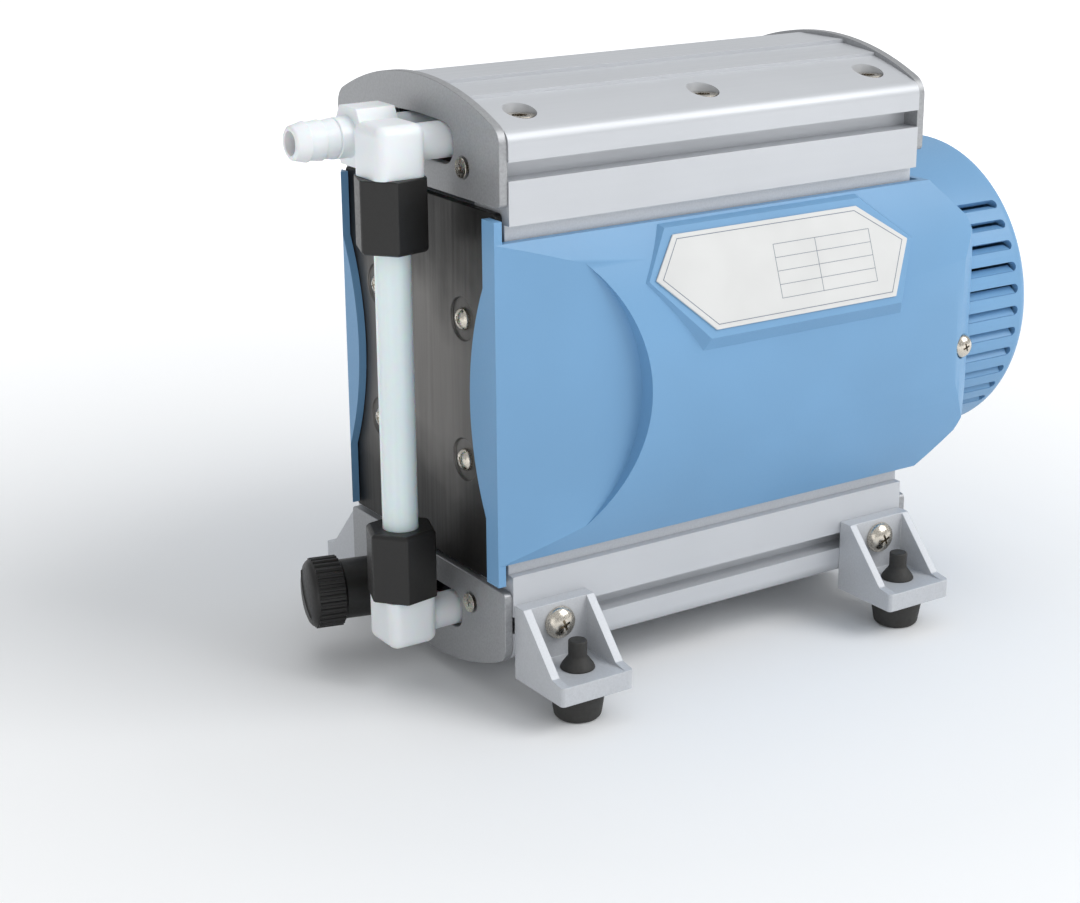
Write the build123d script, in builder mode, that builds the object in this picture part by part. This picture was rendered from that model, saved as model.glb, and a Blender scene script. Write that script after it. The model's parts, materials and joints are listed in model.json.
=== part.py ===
from build123d import *
import math
import os

os.makedirs("parts", exist_ok=True)

# Diaphragm vacuum pump, four heads in two boxer pairs. Millimetres.
# X runs along the crankshaft towards the fan, +Z is up, and the side covers face -Y and +Y.
# The origin is on the floor, in the middle of the foot pattern.

# ------------------------------------------------------------------ driving dimensions
CRANK_Z = 87.5            # crankshaft axis above the floor
BODY_HALF_L = 70.5        # half length of the crankcase and of both head profiles
FIT_GAP = 0.3             # free gap between pieces that only lie beside each other
RUN_GAP = 0.05            # radial running clearance of the plain bearings

# head profiles (extrusions), heights from the crankshaft axis
HEAD_BASE = 48.7          # parting face between crankcase and head profile
PROFILE_HALF_W = 44.0
PROFILE_H = 33.5          # parting face to the crest land
SHOULDER_H = 23.8         # parting face to the start of the arch
SHOULDER_R = 4.0
ARCH_R = 120.0
GROOVE_LOW = 11.8         # parting face to the lower lip of the T-slot
GROOVE_W = 4.9
GROOVE_D = 6.0
CREST_LAND = 10.0         # half width of the crest land
MIDDLE_LAND = 24.0        # half width of the middle land
LAND_STEP = 0.9
HEAD_CAVITY_HALF_W = 27.0
HEAD_CAVITY_H = 24.6
BLOCK_INSET = 8.5         # port block from the profile's end

# head screws
HEAD_SCREW_INSET = 10.5   # end screws from the profile's end
HEAD_SCREW_Y = 33.0
HEAD_SCREW_D = 5.0
HEAD_HOLE_D = 5.5
HEAD_BORE_D = 9.2
HEAD_BORE_FLOOR = 21.5    # parting face to the counterbore's floor
SOCKET_HEAD_D = 8.5
SOCKET_HEAD_H = 5.0
HEAD_SCREW_REACH = 11.0   # thread length in the crankcase

# end caps
CAP_T = 2.5
CAP_HALF_W = 43.5
CAP_LOW = 53.4
CAP_CREST = 83.4
CAP_SHOULDER = 73.0
PORT_Z = 67.3             # port axis above the crankshaft axis
SLOT_HALF_W = 20.5
SLOT_LOW = 61.2
SLOT_TOP = 72.9
SLOT_ARCH = 1.0
CAP_SCREW_Y = 25.5
CAP_SCREW_H = 61.6
SMALL_SCREW_D = 3.0
SMALL_HEAD_D = 6.0
SMALL_HEAD_H = 1.8

# crankcase
CASE_HALF_W = 40.3
FLANGE_HALF_W = 41.6
FLANGE_T = 4.4
CHAMBER_HALF_W = 36.0
CHAMBER_HALF_H = 34.0
END_WALL = 12.0           # crankcase wall at each end
NECK_D = 42.0             # bore below each diaphragm
FRONT_BOSS_D = 38.0

# front plate
PLATE_T = 2.3
PLATE_HALF_W = 40.7
PLATE_HALF_H = 51.7
PLATE_SCREW_Y = 23.3
PLATE_SCREW_Z = 20.0
DIMPLE_D = 12.0
DIMPLE_DEPTH = 0.6

# crank drive
CYLINDER_INSET = 40.5     # cylinder axis from the crankcase's end
ECCENTRIC = 2.5
SHAFT_D = 12.0
ECCENTRIC_D = 26.0
ROD_T = 9.0
ROD_GAP = 0.4             # axial gap between the two rods of a pair
ROD_RING_D = 36.0
BEARING_D = 28.0
BEARING_T = 8.0
RACE_T = 2.6
WEIGHT_R = 26.0
WEIGHT_T = 7.0

# diaphragm heads
DIAPHRAGM_D = 53.0
DIAPHRAGM_T = 2.0
SUPPORT_D = 27.0
SUPPORT_T = 3.0
CLAMP_T = 1.6
CHAMBER_PLATE_T = 7.0
VALVE_SHEET_T = 1.0
DOME_H = 4.6
VALVE_OFFSET = 8.0        # valve ports from the cylinder axis
VALVE_PORT_D = 5.0
VALVE_FLAP_R = 4.5
VALVE_SLIT = 1.0
PORT_D = 10.0

# motor and fan
MOTOR_D = 86.0
MOTOR_WALL = 2.5
MOTOR_L = 24.0
STATOR_RING = 18.0        # housing outside to the stator bore
STATOR_SLOTS = 12
STATOR_SLOT_L = 12.0
STATOR_SLOT_W = 4.0
ROTOR_GAP = 0.6
FAN_TIP_GAP = 4.8         # fan tips to the drum's wall
FAN_HUB_D = 26.0
FAN_W = 13.0
FAN_BLADES = 9

# fan drum
DRUM_WALL = 2.4
DRUM_AIR = 1.8            # gap between motor housing and drum
DRUM_FRONT_GAP = 0.5      # rear cap to drum
DRUM_REACH = 45.0         # rear cap's face to the drum's rear face
DRUM_EDGE_R = 4.0
SIDE_SLOTS = 11
SIDE_SLOT_STEP = 8.3      # degrees
SIDE_SLOT_W = 3.0
SIDE_SLOT_START = 16.0    # rear cap's face to the slots
SIDE_SLOT_L = 24.0

# side covers
COVER_HALF_H = 44.5
COVER_EDGE_Y = 44.5
COVER_BULGE = 11.0
COVER_WALL = 2.5
COVER_LIP_T = 2.5
COVER_REACH = 19.5        # rear cap's face to the cover's rear end
COVER_REAR_BULGE = 6.0
COVER_CHAMFER = 11.0
COVER_ROUND_L = 20.0      # length of the rounding towards the drum
COVER_ROUND_D = 8.5       # depth of that rounding
FACET_R = 48.6
FACET_LEAD = 8.0          # scallop centre in front of the front cap
FACET_RISE = 0.137        # outward rise of the front facet per mm of length
COVER_SCREW_REACH = 12.0  # rear cap's face to the cover screws
COVER_SCREW_Z = -6.0
COVER_SCREW_D = 4.0
COVER_HEAD_D = 6.6
COVER_SEAT_RISE = 4.8     # screw seat outside the drum's wall
LIP_INNER_Y = 38.5
LIP_BULGE = 7.4
TAB_HALF_H = 50.5
EDGE_BEVEL_Y = 6.0        # bevel on the front edge of the plain cover, across
EDGE_BEVEL_RATIO = 1.6    # and its rise per mm of length
EDGE_WEB_Y = 41.0         # inner face of the web behind that bevel
PAD_DRAFT = 3.0           # width of the sloped wall round the type-plate pad
SIGN_T = 0.6

# fittings
LINE_LEAD = 15.2          # transfer line in front of the front cap
LINE_Y = -13.6
TUBE_D = 10.0
TUBE_BORE = 8.0
ELBOW_W = 15.0
ELBOW_TOP = 73.4
ELBOW_R = 3.2
NUT_AF = 18.0
NUT_H = 20.0
NUT_TURN = 10.0           # degrees, how far the hexagon is tightened round
NUT_END = 59.3            # outer end of the union nut above the crankshaft axis
ARM_REACH = 6.0           # depth of each fitting in its port
NOZZLE_Y = 4.0
NOZZLE_TIP = 35.5         # nozzle tip in front of the end cap
NOZZLE_D = 11.2
NOZZLE_ROOT_D = 10.0
NOZZLE_BORE = 6.5
HEX_AF = 16.0
HEX_T = 12.0
HEX_FRONT = 18.0
VALVE_Y = 12.0
VALVE_TURN = 14.0         # degrees in plan, away from the tube line
VALVE_D = 17.5
VALVE_L = 17.0
KNOB_D = 21.0
KNOB_L = 11.0
KNOB_RIBS = 24

# foot brackets and feet
FOOT_INSET = 12.0         # foot axis from the profile's end
FOOT_Y = 57.5
BRACKET_W = 23.5
BRACKET_TOP = 57.0        # below the crankshaft axis
BRACKET_REACH = 23.5
BACK_T = 4.4
BASE_T = 5.5
GUSSET_T = 2.6
BASE_LOW = 8.8            # underside of the bracket above the floor
STEM_D = 5.2
FLARE_D = 10.0
FOOT_TOP_D = 15.8
FOOT_LOW_D = 13.2
BRACKET_SCREW_D = 5.0
PAN_HEAD_D = 9.0
PAN_HEAD_H = 3.2
PAN_RIM_H = 0.8

# ------------------------------------------------------------------ derived values
CAP_FACE = BODY_HALF_L + CAP_T
GROOVE_MID = HEAD_BASE + GROOVE_LOW + GROOVE_W / 2
CHAMBER_PLATE_H = HEAD_BASE + DIAPHRAGM_T
VALVE_SHEET_H = CHAMBER_PLATE_H + CHAMBER_PLATE_T
BLOCK_H = VALVE_SHEET_H + VALVE_SHEET_T
CAVITY_TOP = HEAD_BASE + HEAD_CAVITY_H
BLOCK_HALF_L = BODY_HALF_L - BLOCK_INSET
HEAD_SCREW_X = BODY_HALF_L - HEAD_SCREW_INSET
CHAMBER_HALF_L = BODY_HALF_L - END_WALL
CYLINDER_X = BODY_HALF_L - CYLINDER_INSET
STATOR_BORE = MOTOR_D - 2 * STATOR_RING
DRUM_INNER_R = MOTOR_D / 2 + DRUM_AIR
DRUM_R = DRUM_INNER_R + DRUM_WALL
DRUM_X0 = CAP_FACE + DRUM_FRONT_GAP
DRUM_REAR_X = CAP_FACE + DRUM_REACH
SIDE_SLOT_X = CAP_FACE + SIDE_SLOT_START + SIDE_SLOT_L / 2
FAN_D = 2 * (DRUM_INNER_R - FAN_TIP_GAP)
COVER_REAR_X = CAP_FACE + COVER_REACH
FACET_X = -CAP_FACE - FACET_LEAD
COVER_SCREW_X = CAP_FACE + COVER_SCREW_REACH
COVER_SEAT_Y = DRUM_R + COVER_SEAT_RISE
LINE_X = -CAP_FACE - LINE_LEAD
FOOT_X = BODY_HALF_L - FOOT_INSET
HEAD_SCREWS = [(x, y) for x in (-HEAD_SCREW_X, 0, HEAD_SCREW_X) for y in (-HEAD_SCREW_Y, HEAD_SCREW_Y)]
UP, DOWN = 1, -1
FRONT, REAR = -1, 1


def save(piece, name):
    piece.label = name
    export_step(piece, f"parts/{name}.step")


def height(side, h):
    """Height above the floor of a point h from the crankshaft axis, on the upper or lower side."""
    return CRANK_Z + side * h


def arch(y, crest):
    return crest - (ARCH_R - math.sqrt(ARCH_R**2 - y**2))


# ------------------------------------------------------------------ head profiles
def head_profile(side):
    """Aluminium extrusion with a stepped arch, one T-slot on each side and a cavity for the head."""
    base = HEAD_BASE
    crest = base + PROFILE_H
    shoulder = base + SHOULDER_H
    outer = crest - LAND_STEP
    mid_y = (PROFILE_HALF_W + MIDDLE_LAND) / 2
    mid = crest - LAND_STEP * 1.2
    with BuildPart() as profile:
        with BuildSketch(Plane.YZ.offset(-BODY_HALF_L)) as section:
            with BuildLine():
                for s in (-1, 1):
                    edge = (s * MIDDLE_LAND, height(side, arch(MIDDLE_LAND, outer)))
                    Line(
                        (s * PROFILE_HALF_W, height(side, base)), (s * PROFILE_HALF_W, height(side, shoulder))
                    )
                    ThreePointArc(
                        (s * PROFILE_HALF_W, height(side, shoulder)),
                        (s * mid_y, height(side, arch(mid_y, outer) - 0.25)),
                        edge,
                    )
                    Polyline(
                        edge,
                        (s * MIDDLE_LAND, height(side, arch(MIDDLE_LAND, outer) + LAND_STEP)),
                        (s * CREST_LAND, height(side, mid)),
                        (s * CREST_LAND, height(side, crest)),
                        (0, height(side, crest)),
                    )
                Line((-PROFILE_HALF_W, height(side, base)), (PROFILE_HALF_W, height(side, base)))
            make_face()
            corners = section.vertices().filter_by_position(
                Axis.Y, height(side, shoulder) - 0.01, height(side, shoulder) + 0.01
            )
            fillet(corners, SHOULDER_R)
            with Locations((0, height(side, base + HEAD_CAVITY_H / 2))):
                Rectangle(2 * HEAD_CAVITY_HALF_W, HEAD_CAVITY_H, mode=Mode.SUBTRACT)
            groove_y = PROFILE_HALF_W - GROOVE_D / 2
            with Locations((-groove_y, height(side, GROOVE_MID)), (groove_y, height(side, GROOVE_MID))):
                Rectangle(GROOVE_D, GROOVE_W, mode=Mode.SUBTRACT)
        extrude(amount=2 * BODY_HALF_L)
        top = Plane(origin=(0, 0, height(side, crest)), x_dir=(1, 0, 0), z_dir=(0, 0, side))
        with Locations(top):
            with Locations(*HEAD_SCREWS):
                CounterBoreHole(
                    HEAD_HOLE_D / 2, HEAD_BORE_D / 2, PROFILE_H - HEAD_BORE_FLOOR, depth=PROFILE_H + 1
                )
    return profile.part


save(head_profile(UP), "top_profile")
save(head_profile(DOWN), "bottom_profile")


# ------------------------------------------------------------------ end caps
def end_cap(side, end):
    """Arched cap plate with the port slot and two countersunk screw holes."""
    with BuildPart() as cap:
        with BuildSketch(Plane.YZ.offset(end * BODY_HALF_L)) as outline:
            with BuildLine():
                Line((-CAP_HALF_W, height(side, CAP_LOW)), (-CAP_HALF_W, height(side, CAP_SHOULDER)))
                ThreePointArc(
                    (-CAP_HALF_W, height(side, CAP_SHOULDER)),
                    (0, height(side, CAP_CREST)),
                    (CAP_HALF_W, height(side, CAP_SHOULDER)),
                )
                Line((CAP_HALF_W, height(side, CAP_SHOULDER)), (CAP_HALF_W, height(side, CAP_LOW)))
                Line((CAP_HALF_W, height(side, CAP_LOW)), (-CAP_HALF_W, height(side, CAP_LOW)))
            make_face()
            shoulders = outline.vertices().filter_by_position(
                Axis.Y, height(side, CAP_SHOULDER) - 0.01, height(side, CAP_SHOULDER) + 0.01
            )
            fillet(shoulders, SHOULDER_R + 2)
            feet = outline.vertices().filter_by_position(
                Axis.Y, height(side, CAP_LOW) - 0.01, height(side, CAP_LOW) + 0.01
            )
            fillet(feet, 1.5)
        extrude(amount=end * CAP_T)
        with BuildSketch(Plane.YZ.offset(end * BODY_HALF_L)) as slot:
            with BuildLine():
                slot_side = height(side, SLOT_TOP - SLOT_ARCH)
                Line((-SLOT_HALF_W, height(side, SLOT_LOW)), (-SLOT_HALF_W, slot_side))
                ThreePointArc(
                    (-SLOT_HALF_W, slot_side), (0, height(side, SLOT_TOP)), (SLOT_HALF_W, slot_side)
                )
                Line((SLOT_HALF_W, slot_side), (SLOT_HALF_W, height(side, SLOT_LOW)))
                Line((SLOT_HALF_W, height(side, SLOT_LOW)), (-SLOT_HALF_W, height(side, SLOT_LOW)))
            make_face()
            fillet(slot.vertices(), 4.5)
        extrude(amount=end * CAP_T, mode=Mode.SUBTRACT)
        face = Plane(
            origin=(end * CAP_FACE, 0, height(side, CAP_SCREW_H)), x_dir=(0, 1, 0), z_dir=(end, 0, 0)
        )
        with Locations(face):
            with Locations((-CAP_SCREW_Y, 0), (CAP_SCREW_Y, 0)):
                CounterSinkHole(SMALL_SCREW_D / 2 + 0.1, SMALL_HEAD_D / 2 + 0.1, depth=CAP_T)
    return cap.part


save(end_cap(UP, FRONT), "top_front_cap")
save(end_cap(UP, REAR), "top_rear_cap")
save(end_cap(DOWN, FRONT), "bottom_front_cap")
save(end_cap(DOWN, REAR), "bottom_rear_cap")


# ------------------------------------------------------------------ crankcase and front plate
with BuildPart() as crankcase:
    with BuildSketch(Plane.YZ.offset(-BODY_HALF_L)):
        with Locations((0, CRANK_Z)):
            Rectangle(2 * CASE_HALF_W, 2 * HEAD_BASE)
            for s in (UP, DOWN):
                with Locations((0, s * (HEAD_BASE - FLANGE_T / 2))):
                    Rectangle(2 * FLANGE_HALF_W, FLANGE_T)
    extrude(amount=2 * BODY_HALF_L)
    with Locations((0, 0, CRANK_Z)):
        Box(2 * CHAMBER_HALF_L, 2 * CHAMBER_HALF_W, 2 * CHAMBER_HALF_H, mode=Mode.SUBTRACT)
    with BuildSketch(Plane.YZ.offset(-CHAMBER_HALF_L)):
        with Locations((0, CRANK_Z)):
            Circle(FRONT_BOSS_D / 2)
    extrude(amount=BEARING_T / 2)
    with BuildSketch(Plane.YZ.offset(-CHAMBER_HALF_L + BEARING_T / 2)):
        with Locations((0, CRANK_Z)):
            Circle(BEARING_D / 2)
    extrude(amount=-BEARING_T, mode=Mode.SUBTRACT)
    with BuildSketch(Plane.YZ.offset(CHAMBER_HALF_L)):
        with Locations((0, CRANK_Z)):
            Circle(BEARING_D / 2)
    extrude(amount=BODY_HALF_L - CHAMBER_HALF_L, mode=Mode.SUBTRACT)
    for s in (UP, DOWN):
        with BuildSketch(Plane.XY.offset(height(s, HEAD_BASE))):
            with Locations((-CYLINDER_X, 0), (CYLINDER_X, 0)):
                Circle(NECK_D / 2)
        extrude(amount=-s * (HEAD_BASE - CHAMBER_HALF_H), mode=Mode.SUBTRACT)
        with BuildSketch(Plane.XY.offset(height(s, HEAD_BASE))):
            with Locations(*HEAD_SCREWS):
                Circle(HEAD_SCREW_D / 2 + RUN_GAP)
        extrude(amount=-s * HEAD_SCREW_REACH, mode=Mode.SUBTRACT)
    front_face = Plane(origin=(-BODY_HALF_L, 0, CRANK_Z), x_dir=(0, 1, 0), z_dir=(-1, 0, 0))
    with Locations(front_face):
        with GridLocations(2 * PLATE_SCREW_Y, 2 * PLATE_SCREW_Z, 2, 2):
            Hole(SMALL_SCREW_D / 2 + RUN_GAP, depth=8)
save(crankcase.part, "crankcase")

with BuildPart() as front_plate:
    with BuildSketch(Plane.YZ.offset(-BODY_HALF_L)) as plate_outline:
        with Locations((0, CRANK_Z)):
            Rectangle(2 * PLATE_HALF_W, 2 * PLATE_HALF_H)
        fillet(plate_outline.vertices(), 1.5)
    extrude(amount=-PLATE_T)
    plate_face = Plane(origin=(-BODY_HALF_L - PLATE_T, 0, CRANK_Z), x_dir=(0, 1, 0), z_dir=(-1, 0, 0))
    with Locations(plate_face):
        with GridLocations(2 * PLATE_SCREW_Y, 2 * PLATE_SCREW_Z, 2, 2):
            CounterBoreHole(SMALL_SCREW_D / 2 + 0.2, DIMPLE_D / 2, DIMPLE_DEPTH, depth=PLATE_T)
save(front_plate.part, "front_plate")


# ------------------------------------------------------------------ small screws
def cross_recess(width, depth):
    """Cross recess tool standing on the XY plane of the active location, cut downwards."""
    Box(width, width / 4, depth, align=(Align.CENTER, Align.CENTER, Align.MAX), mode=Mode.SUBTRACT)
    Box(width / 4, width, depth, align=(Align.CENTER, Align.CENTER, Align.MAX), mode=Mode.SUBTRACT)


with BuildPart() as end_screws:
    dimple_floor = Plane(
        origin=(-BODY_HALF_L - PLATE_T + DIMPLE_DEPTH, 0, CRANK_Z), x_dir=(0, 1, 0), z_dir=(-1, 0, 0)
    )
    with Locations(dimple_floor):
        with GridLocations(2 * PLATE_SCREW_Y, 2 * PLATE_SCREW_Z, 2, 2):
            Cylinder(SMALL_HEAD_D / 2, SMALL_HEAD_H, align=(Align.CENTER, Align.CENTER, Align.MIN))
            Cylinder(SMALL_SCREW_D / 2, PLATE_T + 5, align=(Align.CENTER, Align.CENTER, Align.MAX))
    fillet(end_screws.faces().sort_by(Axis.X)[:4].edges(), SMALL_HEAD_H / 2)
    with Locations(dimple_floor.offset(SMALL_HEAD_H)):
        with GridLocations(2 * PLATE_SCREW_Y, 2 * PLATE_SCREW_Z, 2, 2):
            cross_recess(3.2, 1.0)
    for side in (UP, DOWN):
        for end in (FRONT, REAR):
            for s in (-1, 1):
                face = Plane(
                    origin=(end * CAP_FACE, s * CAP_SCREW_Y, height(side, CAP_SCREW_H)),
                    x_dir=(0, 1, 0),
                    z_dir=(end, 0, 0),
                )
                with Locations(face):
                    Cone(
                        SMALL_SCREW_D / 2, SMALL_HEAD_D / 2, (SMALL_HEAD_D - SMALL_SCREW_D) / 2,
                        align=(Align.CENTER, Align.CENTER, Align.MAX),
                    )
                    Cylinder(SMALL_SCREW_D / 2, CAP_T, align=(Align.CENTER, Align.CENTER, Align.MAX))
                    cross_recess(3.0, 0.8)
save(end_screws.part, "end_screws")

with BuildPart() as head_screws:
    for side in (UP, DOWN):
        for x, y in HEAD_SCREWS:
            seat = Plane(
                origin=(x, y, height(side, HEAD_BASE + HEAD_BORE_FLOOR)),
                x_dir=(1, 0, 0), z_dir=(0, 0, side),
            )
            with Locations(seat):
                Cylinder(SOCKET_HEAD_D / 2, SOCKET_HEAD_H, align=(Align.CENTER, Align.CENTER, Align.MIN))
                Cylinder(
                    HEAD_SCREW_D / 2, HEAD_BORE_FLOOR + HEAD_SCREW_REACH - 1,
                    align=(Align.CENTER, Align.CENTER, Align.MAX),
                )
            with BuildSketch(seat.offset(SOCKET_HEAD_H)):
                RegularPolygon(HEAD_SCREW_D * 0.46, 6)
            extrude(amount=-SOCKET_HEAD_H * 0.6, mode=Mode.SUBTRACT)
save(head_screws.part, "head_screws")


# ------------------------------------------------------------------ heads inside the profiles
def chamber_plate(side):
    """Plate above the diaphragms with a shallow dome and two valve ports for each cylinder."""
    with BuildPart() as plate:
        with BuildSketch(Plane.XY.offset(height(side, CHAMBER_PLATE_H))):
            Rectangle(2 * BLOCK_HALF_L, 2 * (HEAD_CAVITY_HALF_W - FIT_GAP / 2))
        extrude(amount=side * CHAMBER_PLATE_T)
        for x in (-CYLINDER_X, CYLINDER_X):
            dome = Plane(origin=(x, 0, height(side, CHAMBER_PLATE_H)), x_dir=(1, 0, 0), z_dir=(0, 0, side))
            with Locations(dome):
                Cone(
                    NECK_D / 2, SUPPORT_D / 2 + 2, DOME_H,
                    align=(Align.CENTER, Align.CENTER, Align.MIN), mode=Mode.SUBTRACT,
                )
                with Locations((-VALVE_OFFSET, 0), (VALVE_OFFSET, 0)):
                    Cylinder(
                        VALVE_PORT_D / 2, CHAMBER_PLATE_T,
                        align=(Align.CENTER, Align.CENTER, Align.MIN), mode=Mode.SUBTRACT,
                    )
    return plate.part


def valve_sheet(side):
    """Elastomer sheet with a C-shaped slit round each valve flap."""
    with BuildPart() as sheet:
        with BuildSketch(Plane.XY.offset(height(side, VALVE_SHEET_H))):
            Rectangle(2 * BLOCK_HALF_L, 2 * (HEAD_CAVITY_HALF_W - FIT_GAP / 2))
            for x in (-CYLINDER_X, CYLINDER_X):
                with Locations((x - VALVE_OFFSET, 0), (x + VALVE_OFFSET, 0)):
                    SlotArc(CenterArc((0, 0), VALVE_FLAP_R, 45, 270), VALVE_SLIT, mode=Mode.SUBTRACT)
        extrude(amount=side * VALVE_SHEET_T)
    return sheet.part


def head_block(side, ports):
    """Port block that fills the profile's cavity; ports lists (end, y) of each threaded port."""
    with BuildPart() as block:
        with BuildSketch(Plane.XY.offset(height(side, BLOCK_H))):
            Rectangle(2 * BLOCK_HALF_L, 2 * (HEAD_CAVITY_HALF_W - FIT_GAP / 2))
        extrude(amount=side * (CAVITY_TOP - BLOCK_H))
        for end, y in ports:
            mouth = Plane(
                origin=(end * BLOCK_HALF_L, y, height(side, PORT_Z)), x_dir=(0, 1, 0), z_dir=(end, 0, 0)
            )
            with Locations(mouth):
                Hole(PORT_D / 2 + RUN_GAP, depth=ARM_REACH)
                Hole(NOZZLE_BORE / 2, depth=4 * ARM_REACH)
    return block.part


save(chamber_plate(UP), "top_chamber_plate")
save(chamber_plate(DOWN), "bottom_chamber_plate")
save(valve_sheet(UP), "top_valve_sheet")
save(valve_sheet(DOWN), "bottom_valve_sheet")
save(head_block(UP, [(FRONT, LINE_Y), (FRONT, NOZZLE_Y)]), "top_head_block")
save(head_block(DOWN, [(FRONT, LINE_Y), (FRONT, VALVE_Y), (REAR, NOZZLE_Y)]), "bottom_head_block")


# ------------------------------------------------------------------ crank drive
# At rest the front eccentric points up and the rear one down, so each pair has one
# diaphragm at the top of its stroke and the other at the bottom.
def throw(x):
    """Height of the eccentric's centre from the crankshaft axis for the cylinder pair at x."""
    return ECCENTRIC if x < 0 else -ECCENTRIC


def rod_span(side):
    """Axial start and end of a rod's ring, measured from its cylinder pair's centre."""
    near = -side * ROD_GAP / 2
    return near, near - side * ROD_T


def diaphragm(side, x):
    """Moulded diaphragm, clamped at its rim, with its centre carried by the rod."""
    lift = side * throw(x)
    low, rim, hub = HEAD_BASE, DIAPHRAGM_D / 2, SUPPORT_D / 2
    edge = NECK_D / 2
    with BuildPart() as body:
        with BuildSketch(Plane.XZ):
            with BuildLine():
                Polyline(
                    (0, height(side, low + lift)),
                    (hub, height(side, low + lift)),
                    (edge, height(side, low)),
                    (rim, height(side, low)),
                    (rim, height(side, low + DIAPHRAGM_T)),
                    (edge, height(side, low + DIAPHRAGM_T)),
                    (hub, height(side, low + lift + DIAPHRAGM_T)),
                    (0, height(side, low + lift + DIAPHRAGM_T)),
                    close=True,
                )
            make_face()
        revolve(axis=Axis.Z)
    return body.part.moved(Location((x, 0, 0)))


def connecting_rod(side, x):
    """Rod with its ring on the eccentric and its support disc under the diaphragm."""
    start, end = rod_span(side)
    centre = CRANK_Z + throw(x)
    seat = height(side, HEAD_BASE) + throw(x)
    with BuildPart() as rod:
        with BuildSketch(Plane.YZ.offset(x + start)):
            with Locations((0, centre)):
                Circle(ROD_RING_D / 2)
            with Locations((0, (centre + seat) / 2)):
                Rectangle(ROD_T * 1.4, abs(seat - centre))
        extrude(amount=end - start)
        with BuildSketch(Plane.XY.offset(seat)):
            with Locations((x, 0)):
                Circle(SUPPORT_D / 2)
        extrude(amount=-side * SUPPORT_T)
        with BuildSketch(Plane.YZ.offset(x + start)):
            with Locations((0, centre)):
                Circle(ECCENTRIC_D / 2 + RUN_GAP)
        extrude(amount=end - start, mode=Mode.SUBTRACT)
    return rod.part


def clamp_disc(side, x):
    """Disc and screw head that clamp the diaphragm's centre on the rod."""
    seat = height(side, HEAD_BASE + DIAPHRAGM_T) + throw(x)
    face = Plane(origin=(x, 0, seat), x_dir=(1, 0, 0), z_dir=(0, 0, side))
    with BuildPart() as disc:
        with Locations(face):
            Cone(
                SUPPORT_D / 2, SUPPORT_D / 2 - CLAMP_T, CLAMP_T,
                align=(Align.CENTER, Align.CENTER, Align.MIN),
            )
    return disc.part


for side, head in ((UP, "top"), (DOWN, "bottom")):
    for x, pair in ((-CYLINDER_X, "front"), (CYLINDER_X, "rear")):
        save(diaphragm(side, x), f"{head}_{pair}_diaphragm")
        save(connecting_rod(side, x), f"{head}_{pair}_rod")
        save(clamp_disc(side, x), f"{head}_{pair}_clamp_disc")

FRONT_BEARING_X = -CHAMBER_HALF_L - BEARING_T / 2
REAR_BEARING_X = BODY_HALF_L - BEARING_T - 1.0
MOTOR_X0 = BODY_HALF_L
STATOR_X0 = MOTOR_X0 + 3.0
STATOR_X1 = MOTOR_X0 + MOTOR_L - 1.0
FAN_X0 = MOTOR_X0 + MOTOR_L + 3.0
SHAFT_X1 = FAN_X0 + FAN_W + 2.0
SHOULDER_D = SHAFT_D + 5.0

with BuildPart() as crankshaft:
    with BuildSketch(Plane.YZ.offset(FRONT_BEARING_X)):
        with Locations((0, CRANK_Z)):
            Circle(SHAFT_D / 2)
    extrude(amount=SHAFT_X1 - FRONT_BEARING_X)
    with BuildSketch(Plane.YZ.offset(FRONT_BEARING_X + BEARING_T + FIT_GAP)):
        with Locations((0, CRANK_Z)):
            Circle(SHOULDER_D / 2)
    extrude(amount=REAR_BEARING_X - FRONT_BEARING_X - BEARING_T - 2 * FIT_GAP)
    for x in (-CYLINDER_X, CYLINDER_X):
        with BuildSketch(Plane.YZ.offset(x - ROD_T - ROD_GAP)):
            with Locations((0, CRANK_Z + throw(x))):
                Circle(ECCENTRIC_D / 2)
        extrude(amount=2 * (ROD_T + ROD_GAP))
save(crankshaft.part, "crankshaft")

with BuildPart() as counterweights:
    for x in (-CYLINDER_X, CYLINDER_X):
        inner = x - math.copysign(ROD_T + ROD_GAP + 1.0, x)
        with BuildSketch(Plane.YZ.offset(inner)):
            with Locations((0, CRANK_Z)):
                Circle(WEIGHT_R)
                opening = math.copysign(1, throw(x))
                with Locations((0, opening * WEIGHT_R * 0.66)):
                    Rectangle(2.2 * WEIGHT_R, WEIGHT_R * 0.7, mode=Mode.SUBTRACT)
                Circle(SHOULDER_D / 2, mode=Mode.SUBTRACT)
        extrude(amount=-math.copysign(WEIGHT_T, x))
save(counterweights.part, "counterweights")


with BuildPart() as bearing_inner_rings:
    for x0 in (FRONT_BEARING_X, REAR_BEARING_X):
        with BuildSketch(Plane.YZ.offset(x0)):
            with Locations((0, CRANK_Z)):
                Circle(SHAFT_D / 2 + RACE_T)
                Circle(SHAFT_D / 2, mode=Mode.SUBTRACT)
        extrude(amount=BEARING_T)
save(bearing_inner_rings.part, "bearing_inner_rings")

with BuildPart() as bearing_outer_rings:
    for x0 in (FRONT_BEARING_X, REAR_BEARING_X):
        with BuildSketch(Plane.YZ.offset(x0)):
            with Locations((0, CRANK_Z)):
                Circle(BEARING_D / 2)
                Circle(SHAFT_D / 2 + RACE_T + RUN_GAP, mode=Mode.SUBTRACT)
        extrude(amount=BEARING_T)
save(bearing_outer_rings.part, "bearing_outer_rings")

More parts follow.
